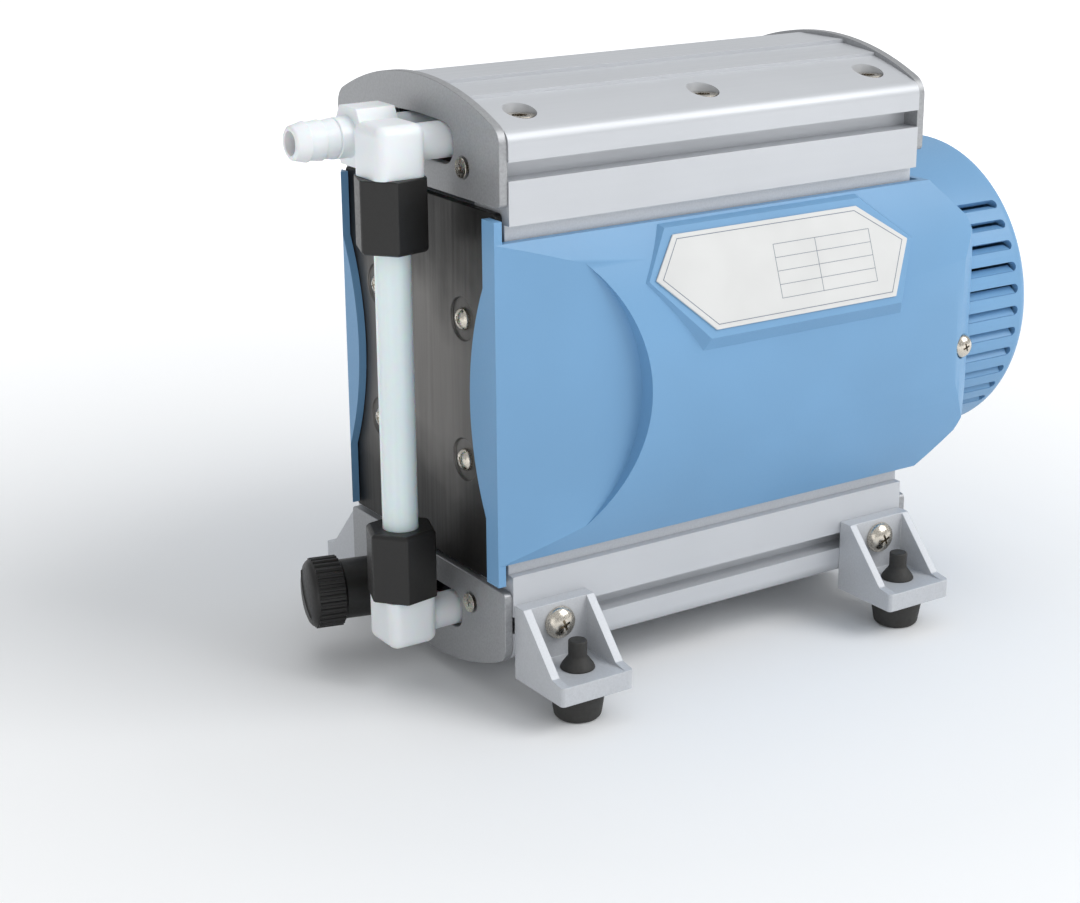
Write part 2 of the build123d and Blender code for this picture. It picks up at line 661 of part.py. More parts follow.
# ------------------------------------------------------------------ motor and fan
with BuildPart() as motor_housing:
    with BuildSketch(Plane.YZ.offset(MOTOR_X0)):
        with Locations((0, CRANK_Z)):
            Circle(MOTOR_D / 2)
            Circle(SHAFT_D, mode=Mode.SUBTRACT)
    extrude(amount=STATOR_X0 - MOTOR_X0)
    with BuildSketch(Plane.YZ.offset(STATOR_X0)):
        with Locations((0, CRANK_Z)):
            Circle(MOTOR_D / 2)
            Circle(MOTOR_D / 2 - MOTOR_WALL, mode=Mode.SUBTRACT)
    extrude(amount=MOTOR_X0 + MOTOR_L - STATOR_X0)
save(motor_housing.part, "motor_housing")

with BuildPart() as motor_stator:
    with BuildSketch(Plane.YZ.offset(STATOR_X0)):
        with Locations((0, CRANK_Z)):
            Circle(MOTOR_D / 2 - MOTOR_WALL)
            Circle(STATOR_BORE / 2, mode=Mode.SUBTRACT)
            with PolarLocations(STATOR_BORE / 2 + STATOR_SLOT_L / 2 + 2, STATOR_SLOTS):
                Rectangle(STATOR_SLOT_L, STATOR_SLOT_W, mode=Mode.SUBTRACT)
    extrude(amount=STATOR_X1 - STATOR_X0)
save(motor_stator.part, "motor_stator")

with BuildPart() as motor_rotor:
    with BuildSketch(Plane.YZ.offset(STATOR_X0 + 1)):
        with Locations((0, CRANK_Z)):
            Circle(STATOR_BORE / 2 - ROTOR_GAP)
            Circle(SHAFT_D / 2, mode=Mode.SUBTRACT)
    extrude(amount=STATOR_X1 - STATOR_X0 - 1)
save(motor_rotor.part, "motor_rotor")

with BuildPart() as cooling_fan:
    with BuildSketch(Plane.YZ.offset(FAN_X0)):
        with Locations((0, CRANK_Z)):
            Circle(FAN_D / 2)
            Circle(SHAFT_D / 2, mode=Mode.SUBTRACT)
    extrude(amount=1.6)
    with BuildSketch(Plane.YZ.offset(FAN_X0)):
        with Locations((0, CRANK_Z)):
            Circle(FAN_HUB_D / 2)
            Circle(SHAFT_D / 2, mode=Mode.SUBTRACT)
            with PolarLocations((FAN_D + FAN_HUB_D) / 4, FAN_BLADES):
                Rectangle((FAN_D - FAN_HUB_D) / 2, 1.6, rotation=12)
    extrude(amount=FAN_W)
    with BuildSketch(Plane.YZ.offset(FAN_X0 + 1.6)):
        with Locations((0, CRANK_Z)):
            Circle(FAN_D / 2 + 2)
            Circle(FAN_D / 2, mode=Mode.SUBTRACT)
    extrude(amount=FAN_W, mode=Mode.SUBTRACT)
save(cooling_fan.part, "cooling_fan")

# ------------------------------------------------------------------ fan drum
with BuildPart() as fan_drum:
    with BuildSketch(Plane.YZ.offset(DRUM_X0)):
        with Locations((0, CRANK_Z)):
            Circle(DRUM_R)
    extrude(amount=DRUM_REAR_X - DRUM_X0)
    fillet(fan_drum.faces().sort_by(Axis.X)[-1].edges(), DRUM_EDGE_R)
    with BuildSketch(Plane.YZ.offset(DRUM_X0)):
        with Locations((0, CRANK_Z)):
            Circle(DRUM_INNER_R)
    extrude(amount=DRUM_REAR_X - DRUM_X0 - DRUM_WALL, mode=Mode.SUBTRACT)
    for s in (-1, 1):
        for i in range(SIDE_SLOTS):
            angle = (i - (SIDE_SLOTS - 1) / 2) * SIDE_SLOT_STEP
            out = Vector(0, s * math.cos(math.radians(angle)), math.sin(math.radians(angle)))
            slot_plane = Plane(
                origin=Vector(SIDE_SLOT_X, 0, CRANK_Z) + out * (DRUM_R + 1), x_dir=(1, 0, 0), z_dir=out
            )
            with BuildSketch(slot_plane):
                SlotOverall(SIDE_SLOT_L, SIDE_SLOT_W)
            extrude(amount=-DRUM_WALL - 3, mode=Mode.SUBTRACT)
    for s in (-1, 1):
        cover_screw = Plane(
            origin=(COVER_SCREW_X, 0, CRANK_Z + COVER_SCREW_Z), x_dir=(1, 0, 0), z_dir=(0, s, 0)
        )
        with Locations(cover_screw):
            Cylinder(
                COVER_SCREW_D / 2 + RUN_GAP, DRUM_R + 5,
                align=(Align.CENTER, Align.CENTER, Align.MIN), mode=Mode.SUBTRACT,
            )
save(fan_drum.part, "fan_drum")


# ------------------------------------------------------------------ side covers
def cover_form(inset):
    """Outer form of the -Y side cover, or the form of its hollow when inset by the wall."""
    half_h = COVER_HALF_H - inset
    edge_y = COVER_EDGE_Y - inset
    front_x = -CAP_FACE - COVER_LIP_T + inset
    rear_x = COVER_REAR_X - inset
    inner_y = DRUM_R * 0.45
    full_y = edge_y + COVER_BULGE
    with BuildPart() as form:
        with BuildSketch(Plane.YZ.offset(front_x)):
            with BuildLine():
                Polyline(
                    (-edge_y, CRANK_Z + half_h), (-inner_y, CRANK_Z + half_h),
                    (-inner_y, CRANK_Z - half_h), (-edge_y, CRANK_Z - half_h),
                )
                ThreePointArc(
                    (-edge_y, CRANK_Z - half_h), (-full_y, CRANK_Z), (-edge_y, CRANK_Z + half_h)
                )
            make_face()
        extrude(amount=rear_x - front_x)
        with BuildSketch(Plane.XZ):
            chamfer_x = rear_x - COVER_REAR_BULGE - COVER_CHAMFER
            chamfer_z = half_h - COVER_CHAMFER
            with BuildLine():
                Polyline(
                    (rear_x - COVER_REAR_BULGE, CRANK_Z + chamfer_z), (chamfer_x, CRANK_Z + half_h),
                    (front_x, CRANK_Z + half_h), (front_x, CRANK_Z - half_h),
                    (chamfer_x, CRANK_Z - half_h), (rear_x - COVER_REAR_BULGE, CRANK_Z - chamfer_z),
                )
                ThreePointArc(
                    (rear_x - COVER_REAR_BULGE, CRANK_Z - chamfer_z), (rear_x, CRANK_Z),
                    (rear_x - COVER_REAR_BULGE, CRANK_Z + chamfer_z),
                )
            make_face()
        extrude(amount=2 * full_y, both=True, mode=Mode.INTERSECT)
        with BuildSketch(Plane.XY):
            round_x = rear_x - COVER_ROUND_L
            with BuildLine():
                Polyline(
                    (rear_x, -full_y + COVER_ROUND_D), (rear_x, 0), (front_x, 0),
                    (front_x, -full_y), (round_x, -full_y),
                )
                TangentArc((round_x, -full_y), (rear_x, -full_y + COVER_ROUND_D), tangent=(1, 0))
            make_face()
        extrude(amount=2 * CRANK_Z, mode=Mode.INTERSECT)
        # flat front facet, bounded by a round scallop
        with BuildSketch(Plane.XY):
            face_x = -CAP_FACE - COVER_LIP_T
            far_x = FACET_X + FACET_R + 5
            start_y = -COVER_EDGE_Y + inset
            far_y = start_y - FACET_RISE * (far_x - face_x)
            with BuildLine():
                Polyline(
                    (face_x - 1, start_y + FACET_RISE), (far_x, far_y), (far_x, -2 * full_y),
                    (face_x - 1, -2 * full_y), close=True,
                )
            make_face()
        with BuildSketch(Plane.XZ.offset(0)) as scallop:
            with Locations((FACET_X, CRANK_Z)):
                Circle(FACET_R + inset)
        wedge = extrude(form.pending_faces[0], amount=2 * CRANK_Z, mode=Mode.PRIVATE)
        drum_cut = extrude(scallop.sketch, amount=3 * full_y, mode=Mode.PRIVATE)
        form.pending_faces.clear()
        add(wedge & drum_cut, mode=Mode.SUBTRACT)
    return form.part


PAD_X1 = CAP_FACE - 10.0          # rear point of the pad's flat
PAD_X0 = PAD_X1 - 94.0            # front point
PAD_Z0, PAD_Z1 = 13.0, 43.0       # lower and upper edge of the pad's flat
PAD_MID_Z = 30.0
PAD_Y0 = 57.3                     # pad surface at its lower edge
PAD_Y1 = 47.0                     # pad surface at its upper edge
PAD_CUT_LOW = 17.0                # run of the lower corner cuts along X
PAD_CUT_TOP = 8.0
SIGN_MARGIN = 2.0


def hexagon(margin):
    """Elongated hexagon of the pad in side view, grown by margin; heights from the crankshaft."""
    left, right = PAD_X0 - margin, PAD_X1 + margin
    low, top = PAD_Z0 - margin, PAD_Z1 + margin
    return [
        (left, PAD_MID_Z), (left + PAD_CUT_LOW, low), (right - PAD_CUT_TOP, low),
        (right, PAD_MID_Z), (right - PAD_CUT_LOW, top), (left + PAD_CUT_TOP, top),
    ]


pad_slope = (PAD_Y0 - PAD_Y1) / (PAD_Z1 - PAD_Z0)
pad_normal = Vector(0, -1, pad_slope).normalized()
pad_plane = Plane(origin=(0, -PAD_Y0, CRANK_Z + PAD_Z0), x_dir=(1, 0, 0), z_dir=pad_normal)


def on_pad(x, z):
    """Pad-plane coordinates of the point at height z from the crankshaft axis."""
    return x, (z - PAD_Z0) * math.hypot(1, pad_slope)


def side_cover(with_pad):
    """Moulded -Y half shell: bulged side, front lip, and a closed rear end that fits the drum."""
    with BuildPart() as cover:
        add(cover_form(0))
        if with_pad:
            with BuildSketch(pad_plane) as pad_flat:
                Polygon(*[on_pad(x, z) for x, z in hexagon(0)], align=None)
            extrude(amount=-PAD_DRAFT * 2.6, taper=-40)
            with Locations((0, 0, CRANK_Z + COVER_HALF_H)):
                Box(3 * BODY_HALF_L, 4 * COVER_EDGE_Y, 20, align=(Align.CENTER, Align.CENTER, Align.MIN),
                    mode=Mode.SUBTRACT)
        add(cover_form(COVER_WALL), mode=Mode.SUBTRACT)
        with Locations((-CAP_FACE - COVER_LIP_T, 0, CRANK_Z)):
            Box(
                2 * CAP_FACE + COVER_LIP_T + DRUM_FRONT_GAP, 2 * (COVER_EDGE_Y - COVER_WALL),
                3 * COVER_HALF_H,
                align=(Align.MIN, Align.CENTER, Align.CENTER), mode=Mode.SUBTRACT,
            )
        boss = Plane(
            origin=(COVER_SCREW_X, -COVER_SEAT_Y, CRANK_Z + COVER_SCREW_Z), x_dir=(1, 0, 0), z_dir=(0, -1, 0)
        )
        with Locations(boss):
            Cylinder(COVER_HEAD_D / 2 + 0.8, 8, align=(Align.CENTER, Align.CENTER, Align.MAX))
            Cylinder(
                COVER_HEAD_D / 2 + 0.5, 8,
                align=(Align.CENTER, Align.CENTER, Align.MIN), mode=Mode.SUBTRACT,
            )
            Cylinder(
                COVER_SCREW_D / 2 + FIT_GAP, 9,
                align=(Align.CENTER, Align.CENTER, Align.MAX), mode=Mode.SUBTRACT,
            )
        with BuildSketch(Plane.YZ.offset(DRUM_X0)):
            with Locations((0, CRANK_Z)):
                Circle(DRUM_R + FIT_GAP)
        extrude(amount=DRUM_REAR_X - DRUM_X0, mode=Mode.SUBTRACT)
        # front lip with its curved inner edge and the two tabs beside the front plate
        with BuildSketch(Plane.YZ.offset(-CAP_FACE - COVER_LIP_T)):
            with BuildLine():
                Polyline(
                    (-LIP_INNER_Y, CRANK_Z + COVER_HALF_H * 0.72), (-LIP_INNER_Y, CRANK_Z + TAB_HALF_H),
                    (-COVER_EDGE_Y, CRANK_Z + TAB_HALF_H), (-COVER_EDGE_Y, CRANK_Z - TAB_HALF_H),
                    (-LIP_INNER_Y, CRANK_Z - TAB_HALF_H), (-LIP_INNER_Y, CRANK_Z - COVER_HALF_H * 0.72),
                )
                ThreePointArc(
                    (-LIP_INNER_Y, CRANK_Z - COVER_HALF_H * 0.72), (-LIP_INNER_Y + LIP_BULGE, CRANK_Z),
                    (-LIP_INNER_Y, CRANK_Z + COVER_HALF_H * 0.72),
                )
            make_face()
        extrude(amount=COVER_LIP_T - 0.1)
        if not with_pad:
            front_x = -CAP_FACE - COVER_LIP_T
            web = COVER_EDGE_Y - EDGE_WEB_Y
            with Locations((front_x + 1, -EDGE_WEB_Y - web / 2, CRANK_Z)):
                Box(
                    COVER_LIP_T + 1, web, 2 * COVER_HALF_H - 2,
                    align=(Align.MIN, Align.CENTER, Align.CENTER),
                )
            start = -COVER_EDGE_Y + EDGE_BEVEL_Y
            with BuildSketch(Plane.XY):
                Polygon(
                    (front_x - 1, start + EDGE_BEVEL_RATIO), (front_x - 1, start - 9 * EDGE_BEVEL_RATIO),
                    (front_x + 9, start - 9 * EDGE_BEVEL_RATIO), align=None,
                )
            extrude(amount=2 * CRANK_Z, mode=Mode.SUBTRACT)
    return cover.part


save(side_cover(True), "right_cover")
save(mirror(side_cover(False), about=Plane.XZ), "left_cover")

with BuildPart() as type_plate:
    with BuildSketch(pad_plane):
        Polygon(*[on_pad(x, z) for x, z in hexagon(-SIGN_MARGIN)], align=None)
    extrude(amount=SIGN_T)
save(type_plate.part, "type_plate")

# ------------------------------------------------------------------ cover screws and cable gland
with BuildPart() as cover_screws:
    for s in (-1, 1):
        seat = Plane(origin=(COVER_SCREW_X, s * COVER_SEAT_Y, CRANK_Z + COVER_SCREW_Z), x_dir=(1, 0, 0),
                     z_dir=(0, s, 0))
        with Locations(seat):
            Cylinder(COVER_HEAD_D / 2, PAN_HEAD_H, align=(Align.CENTER, Align.CENTER, Align.MIN))
            Cylinder(COVER_SCREW_D / 2, 8, align=(Align.CENTER, Align.CENTER, Align.MAX))
            with Locations((0, 0, PAN_HEAD_H)):
                cross_recess(3.6, 1.4)
save(cover_screws.part, "cover_screws")

GLAND_D = 14.0
GLAND_Z = -26.0
GLAND_BORE = 7.0
with BuildPart() as cable_gland:
    rear = Plane(origin=(DRUM_REAR_X, 0, CRANK_Z + GLAND_Z), x_dir=(0, 1, 0), z_dir=(1, 0, 0))
    with BuildSketch(rear):
        RegularPolygon(GLAND_D / 2, 6)
    extrude(amount=4)
    with BuildSketch(rear.offset(4)):
        Circle(GLAND_D / 2 - 1)
    extrude(amount=6)
    fillet(cable_gland.faces().sort_by(Axis.X)[-1].edges(), 1.5)
    with Locations(rear.offset(10)):
        Hole(GLAND_BORE / 2, depth=10)
save(cable_gland.part, "cable_gland")


# ------------------------------------------------------------------ fittings and transfer tube
def elbow(side):
    """Moulded elbow: square body, arm into the head and spigot for the union nut."""
    z = height(side, PORT_Z)
    nut_end = height(side, NUT_END)
    with BuildPart() as body:
        with BuildSketch(Plane.XY.offset(nut_end)) as square:
            with Locations((LINE_X, LINE_Y)):
                Rectangle(ELBOW_W, ELBOW_W)
            fillet(square.vertices(), ELBOW_R)
        extrude(amount=side * (ELBOW_TOP - NUT_END))
        fillet(body.faces().sort_by(Axis.Z)[-1 if side > 0 else 0].edges(), ELBOW_R * 0.9)
        with BuildSketch(Plane.YZ.offset(LINE_X)):
            with Locations((LINE_Y, z)):
                Circle(PORT_D / 2)
        extrude(amount=-BLOCK_HALF_L + ARM_REACH - LINE_X)
        with BuildSketch(Plane.XY.offset(nut_end)):
            with Locations((LINE_X, LINE_Y)):
                Circle(TUBE_D / 2 + 1.6)
                Circle(TUBE_D / 2 + RUN_GAP, mode=Mode.SUBTRACT)
        extrude(amount=-side * NUT_H * 0.5)
    return body.part


def union_nut(side):
    """Hexagonal union nut over the tube end, chamfered on its inner end."""
    nut_end = height(side, NUT_END)
    with BuildPart() as nut:
        with BuildSketch(Plane.XY.offset(nut_end)):
            with Locations((LINE_X, LINE_Y)):
                RegularPolygon(NUT_AF / 2, 6, major_radius=False, rotation=NUT_TURN)
        extrude(amount=-side * NUT_H)
        with BuildSketch(Plane.XY.offset(nut_end)):
            with Locations((LINE_X, LINE_Y)):
                Circle(NUT_AF * 0.565)
        extrude(amount=-side * NUT_H, mode=Mode.INTERSECT)
        chamfer(nut.faces().sort_by(Axis.Z)[0 if side > 0 else -1].edges(), 0.8)
        with BuildSketch(Plane.XY.offset(nut_end)):
            with Locations((LINE_X, LINE_Y)):
                Circle(TUBE_D / 2 + 1.6 + RUN_GAP)
        extrude(amount=-side * (NUT_H * 0.5 + FIT_GAP), mode=Mode.SUBTRACT)
        with BuildSketch(Plane.XY.offset(nut_end)):
            with Locations((LINE_X, LINE_Y)):
                Circle(TUBE_D / 2 + RUN_GAP)
        extrude(amount=-side * NUT_H, mode=Mode.SUBTRACT)
    return nut.part


save(elbow(UP), "top_elbow")
save(elbow(DOWN), "bottom_elbow")
save(union_nut(UP), "top_union_nut")
save(union_nut(DOWN), "bottom_union_nut")

with BuildPart() as transfer_tube:
    with BuildSketch(Plane.XY.offset(CRANK_Z - NUT_END)):
        with Locations((LINE_X, LINE_Y)):
            Circle(TUBE_D / 2)
            Circle(TUBE_BORE / 2, mode=Mode.SUBTRACT)
    extrude(amount=2 * NUT_END)
save(transfer_tube.part, "transfer_tube")


def hose_nozzle(side, end):
    """Straight hose nozzle with three soft barbs, a hexagon and a plain stub in the port."""
    tip = CAP_FACE + NOZZLE_TIP
    root = CAP_FACE + HEX_FRONT
    barb = (tip - root) / 4
    with BuildPart() as nozzle:
        with BuildSketch(Plane.XY):
            with BuildLine():
                Polyline(
                    (BLOCK_HALF_L - ARM_REACH, NOZZLE_BORE / 2), (BLOCK_HALF_L - ARM_REACH, PORT_D / 2),
                    (root - HEX_T, PORT_D / 2), (root - HEX_T, HEX_AF / 2 - 1), (root, HEX_AF / 2 - 1),
                    (root, NOZZLE_D / 2), (root + barb, NOZZLE_D / 2),
                    (root + barb, NOZZLE_ROOT_D / 2 + 0.1), (root + 1.1 * barb, NOZZLE_ROOT_D / 2 + 0.1),
                    (root + 1.1 * barb, NOZZLE_D / 2), (root + 2 * barb, NOZZLE_ROOT_D / 2 + 0.1),
                    (root + 2 * barb, NOZZLE_D / 2), (root + 3 * barb, NOZZLE_ROOT_D / 2 + 0.1),
                    (root + 3 * barb, NOZZLE_D / 2), (tip - 0.6, NOZZLE_ROOT_D / 2 - 0.3),
                    (tip, NOZZLE_ROOT_D / 2 - 0.9), (tip, NOZZLE_BORE / 2), close=True,
                )
            make_face()
        revolve(axis=Axis.X)
        with BuildSketch(Plane.YZ.offset(root - HEX_T)):
            RegularPolygon(HEX_AF / 2, 6, major_radius=False)
            Circle(PORT_D / 2 - 0.1, mode=Mode.SUBTRACT)
        extrude(amount=HEX_T)
    piece = nozzle.part if end > 0 else mirror(nozzle.part, about=Plane.YZ)
    return piece.moved(Location((0, NOZZLE_Y, height(side, PORT_Z))))


save(hose_nozzle(UP, FRONT), "inlet_nozzle")
save(hose_nozzle(DOWN, REAR), "outlet_nozzle")

# gas ballast valve: straight stub in the port, then a cylinder turned in plan
VALVE_Z = height(DOWN, PORT_Z)
VALVE_BEND = Vector(-CAP_FACE - 3.0, VALVE_Y, VALVE_Z)
VALVE_DIR = Vector(-math.cos(math.radians(VALVE_TURN)), math.sin(math.radians(VALVE_TURN)), 0)
valve_plane = Plane(origin=VALVE_BEND, x_dir=(0, 0, 1), z_dir=VALVE_DIR)
KNOB_START = VALVE_L + FIT_GAP
SPINDLE_D = 6.0

with BuildPart() as ballast_valve:
    with BuildSketch(Plane.YZ.offset(-BLOCK_HALF_L + ARM_REACH)):
        with Locations((VALVE_Y, VALVE_Z)):
            Circle(PORT_D / 2)
    extrude(amount=-CAP_FACE - 6.0 + BLOCK_HALF_L - ARM_REACH)
    with BuildSketch(valve_plane):
        Circle(VALVE_D / 2)
    extrude(amount=VALVE_L)
    with BuildSketch(valve_plane.offset(VALVE_L)):
        Circle(SPINDLE_D / 2)
    extrude(amount=KNOB_L - 3)
save(ballast_valve.part, "ballast_valve")

with BuildPart() as ballast_knob:
    with BuildSketch(valve_plane.offset(KNOB_START)):
        Circle(KNOB_D / 2)
    extrude(amount=KNOB_L - 1.5, taper=3)
    with BuildSketch(valve_plane.offset(KNOB_START + KNOB_L - 1.5)):
        Circle(KNOB_D / 2 - 1.2)
    extrude(amount=1.5, taper=35)
    with BuildSketch(valve_plane.offset(KNOB_START - 0.1)):
        with PolarLocations(KNOB_D / 2 + 0.35, KNOB_RIBS):
            Circle(0.95)
    extrude(amount=KNOB_L - 1.2, mode=Mode.SUBTRACT)
    with BuildSketch(valve_plane.offset(KNOB_START)):
        Circle(SPINDLE_D / 2 + RUN_GAP)
    extrude(amount=KNOB_L - 3 + FIT_GAP, mode=Mode.SUBTRACT)
    with BuildSketch(valve_plane.offset(KNOB_START + KNOB_L)):
        Rectangle(KNOB_D * 0.62, 1.0)
    extrude(amount=-0.7, mode=Mode.SUBTRACT)
save(ballast_knob.part, "ballast_knob")


# ------------------------------------------------------------------ foot brackets and feet
def foot_bracket():
    """Cast bracket for the -Y side at x = 0: back plate, base plate and two gussets."""
    back_y = -PROFILE_HALF_W
    edge_y = back_y - BRACKET_REACH
    top_z = CRANK_Z - BRACKET_TOP
    with BuildPart() as bracket:
        with BuildSketch(Plane.YZ.offset(-BRACKET_W / 2)):
            with BuildLine():
                Polyline(
                    (back_y, BASE_LOW), (edge_y, BASE_LOW), (edge_y, BASE_LOW + BASE_T),
                    (edge_y + 5, BASE_LOW + BASE_T + 0.8), (back_y - BACK_T, top_z), (back_y, top_z),
                    close=True,
                )
            make_face()
        extrude(amount=BRACKET_W)
        with BuildSketch(Plane.YZ.offset(-BRACKET_W / 2 + GUSSET_T)):
            with BuildLine():
                Polyline(
                    (back_y - BACK_T, BASE_LOW + BASE_T), (edge_y - 5, BASE_LOW + BASE_T),
                    (edge_y - 5, top_z + 5), (back_y - BACK_T, top_z + 5), close=True,
                )
            make_face()
        extrude(amount=BRACKET_W - 2 * GUSSET_T, mode=Mode.SUBTRACT)
        fillet(bracket.faces().sort_by(Axis.Y)[0].edges().filter_by(Axis.Z), 1.2)
        with Locations((0, -FOOT_Y, 0)):
            Cylinder(STEM_D / 2 + 0.8, 4 * (BASE_LOW + BASE_T), mode=Mode.SUBTRACT)
        screw_axis = Plane(
            origin=(0, back_y - BACK_T, height(DOWN, GROOVE_MID)), x_dir=(1, 0, 0), z_dir=(0, -1, 0)
        )
        with Locations(screw_axis):
            Hole(BRACKET_SCREW_D / 2 + 0.3, depth=BACK_T)
    return bracket.part


def rubber_foot():
    """Push-in rubber foot for the -Y side at x = 0: tapered foot, neck, flare and nipple."""
    top = BASE_LOW + BASE_T
    with BuildPart() as foot:
        with BuildSketch(Plane.XZ):
            with BuildLine():
                Polyline(
                    (0, 0), (FOOT_LOW_D / 2 - 0.8, 0), (FOOT_LOW_D / 2, 0.8), (FOOT_TOP_D / 2, BASE_LOW),
                    (STEM_D / 2 + 0.7, BASE_LOW), (STEM_D / 2 + 0.7, top), (FLARE_D / 2, top),
                    (FLARE_D / 2 - 0.6, top + 1.2), (STEM_D / 2, top + 3.6), (STEM_D / 2, top + 8.2),
                    (0, top + 8.2), close=True,
                )
            make_face()
        revolve(axis=Axis.Z)
    return foot.part.moved(Location((0, -FOOT_Y, 0)))


bracket_shape = foot_bracket()
foot_shape = rubber_foot()
for x, end in ((-FOOT_X, "front"), (FOOT_X, "rear")):
    place = Location((x, 0, 0))
    save(bracket_shape.moved(place), f"right_{end}_bracket")
    save(mirror(bracket_shape, about=Plane.XZ).moved(place), f"left_{end}_bracket")
    save(foot_shape.moved(place), f"right_{end}_foot")
    save(mirror(foot_shape, about=Plane.XZ).moved(place), f"left_{end}_foot")

with BuildPart() as bracket_screws:
    for x in (-FOOT_X, FOOT_X):
        for s in (-1, 1):
            seat = Plane(
                origin=(x, s * (PROFILE_HALF_W + BACK_T), height(DOWN, GROOVE_MID)),
                x_dir=(1, 0, 0), z_dir=(0, s, 0),
            )
            with Locations(seat):
                Cylinder(PAN_HEAD_D / 2, PAN_RIM_H, align=(Align.CENTER, Align.CENTER, Align.MIN))
                with Locations((0, 0, PAN_RIM_H)):
                    Cone(
                        PAN_HEAD_D / 2, PAN_HEAD_D * 0.4, (PAN_HEAD_H - PAN_RIM_H) / 2,
                        align=(Align.CENTER, Align.CENTER, Align.MIN),
                    )
                with Locations((0, 0, (PAN_RIM_H + PAN_HEAD_H) / 2)):
                    Cone(
                        PAN_HEAD_D * 0.4, PAN_HEAD_D * 0.22, (PAN_HEAD_H - PAN_RIM_H) / 2,
                        align=(Align.CENTER, Align.CENTER, Align.MIN),
                    )
                Cylinder(
                    BRACKET_SCREW_D / 2 - 0.2, BACK_T + GROOVE_D - FIT_GAP,
                    align=(Align.CENTER, Align.CENTER, Align.MAX),
                )
                with Locations((0, 0, PAN_HEAD_H)):
                    cross_recess(4.4, 1.6)
save(bracket_screws.part, "bracket_screws")
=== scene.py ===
import bpy
import bmesh
import json
import math
from mathutils import Matrix, Vector


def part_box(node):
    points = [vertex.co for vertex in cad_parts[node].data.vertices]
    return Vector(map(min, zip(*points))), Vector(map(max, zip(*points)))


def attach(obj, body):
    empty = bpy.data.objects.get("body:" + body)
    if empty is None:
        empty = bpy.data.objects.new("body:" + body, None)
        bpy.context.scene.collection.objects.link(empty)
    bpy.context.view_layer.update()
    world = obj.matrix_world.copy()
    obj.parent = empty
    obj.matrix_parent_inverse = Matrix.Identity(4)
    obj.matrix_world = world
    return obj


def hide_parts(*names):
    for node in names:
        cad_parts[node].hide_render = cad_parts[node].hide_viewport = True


# Diaphragm vacuum pump with four heads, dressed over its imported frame. Metres.
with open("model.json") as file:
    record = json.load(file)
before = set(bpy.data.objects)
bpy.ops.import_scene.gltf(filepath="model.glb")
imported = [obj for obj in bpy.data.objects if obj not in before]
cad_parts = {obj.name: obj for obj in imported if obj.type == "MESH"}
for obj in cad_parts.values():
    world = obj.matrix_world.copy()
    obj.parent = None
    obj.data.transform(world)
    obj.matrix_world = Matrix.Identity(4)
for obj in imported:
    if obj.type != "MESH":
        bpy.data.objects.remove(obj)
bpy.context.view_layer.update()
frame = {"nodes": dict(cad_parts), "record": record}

MM = 0.001
BODY_OF = {
    node: body
    for body, nodes in frame["record"]["behaviour"]["bodies"].items()
    for node in nodes
}
SLOT_OF = {part["node"]: part["material_slot"] for part in frame["record"]["subparts"]}
NOISE_LOW, NOISE_HIGH = 0.3, 0.7  # nearly all of a noise value lies between these


def middle(node):
    """Middle of a node's box."""
    low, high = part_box(node)
    return (low + high) / 2


# ------------------------------------------------------------------ building blocks for finishes
def start_finish(name):
    """A new material, its node tree and its shader."""
    finish = bpy.data.materials.new(name)
    finish.use_nodes = True
    tree = finish.node_tree
    return finish, tree, tree.nodes["Principled BSDF"]


def placed_coordinates(tree, stretch):
    """Object coordinates, stretched along each axis."""
    where = tree.nodes.new("ShaderNodeTexCoord")
    mapping = tree.nodes.new("ShaderNodeMapping")
    mapping.inputs["Scale"].default_value = stretch
    tree.links.new(where.outputs["Object"], mapping.inputs["Vector"])
    return mapping.outputs["Vector"]


def grain(tree, scale, detail=3.0, stretch=(1, 1, 1)):
    """Noise value on the object's own coordinates."""
    noise = tree.nodes.new("ShaderNodeTexNoise")
    noise.inputs["Scale"].default_value = scale
    noise.inputs["Detail"].default_value = detail
    tree.links.new(placed_coordinates(tree, stretch), noise.inputs["Vector"])
    return noise.outputs["Fac"]


def graded(tree, value, stops):
    """Colour ramp through (position, colour) stops."""
    ramp = tree.nodes.new("ShaderNodeValToRGB")
    first, last = ramp.color_ramp.elements
    first.position = stops[0][0]
    last.position = stops[-1][0]
    for position, _ in stops[1:-1]:
        ramp.color_ramp.elements.new(position)
    for element, (position, colour) in zip(ramp.color_ramp.elements, stops):
        element.position = position
        element.color = (*colour, 1)
    tree.links.new(value, ramp.inputs["Fac"])
    return ramp.outputs["Color"]


def two_toned(tree, shader, value, dark, light):
    """Base colour from dark to light with a noise value."""
    tones = graded(tree, value, [(NOISE_LOW, dark), (NOISE_HIGH, light)])
    tree.links.new(tones, shader.inputs["Base Color"])


def uneven_gloss(tree, shader, value, low, high):
    """Roughness from low to high with a noise value."""
    remap = tree.nodes.new("ShaderNodeMapRange")
    remap.inputs["From Min"].default_value = NOISE_LOW
    remap.inputs["From Max"].default_value = NOISE_HIGH
    remap.inputs["To Min"].default_value = low
    remap.inputs["To Max"].default_value = high
    tree.links.new(value, remap.inputs["Value"])
    tree.links.new(remap.outputs["Result"], shader.inputs["Roughness"])


def relief(tree, shader, value, depth, strength):
    """Surface relief of the given depth in metres."""
    bump = tree.nodes.new("ShaderNodeBump")
    bump.inputs["Strength"].default_value = strength
    bump.inputs["Distance"].default_value = depth
    tree.links.new(value, bump.inputs["Height"])
    tree.links.new(bump.outputs["Normal"], shader.inputs["Normal"])


def shaded(colour, factor):
    return tuple(min(1.0, c * factor) for c in colour)


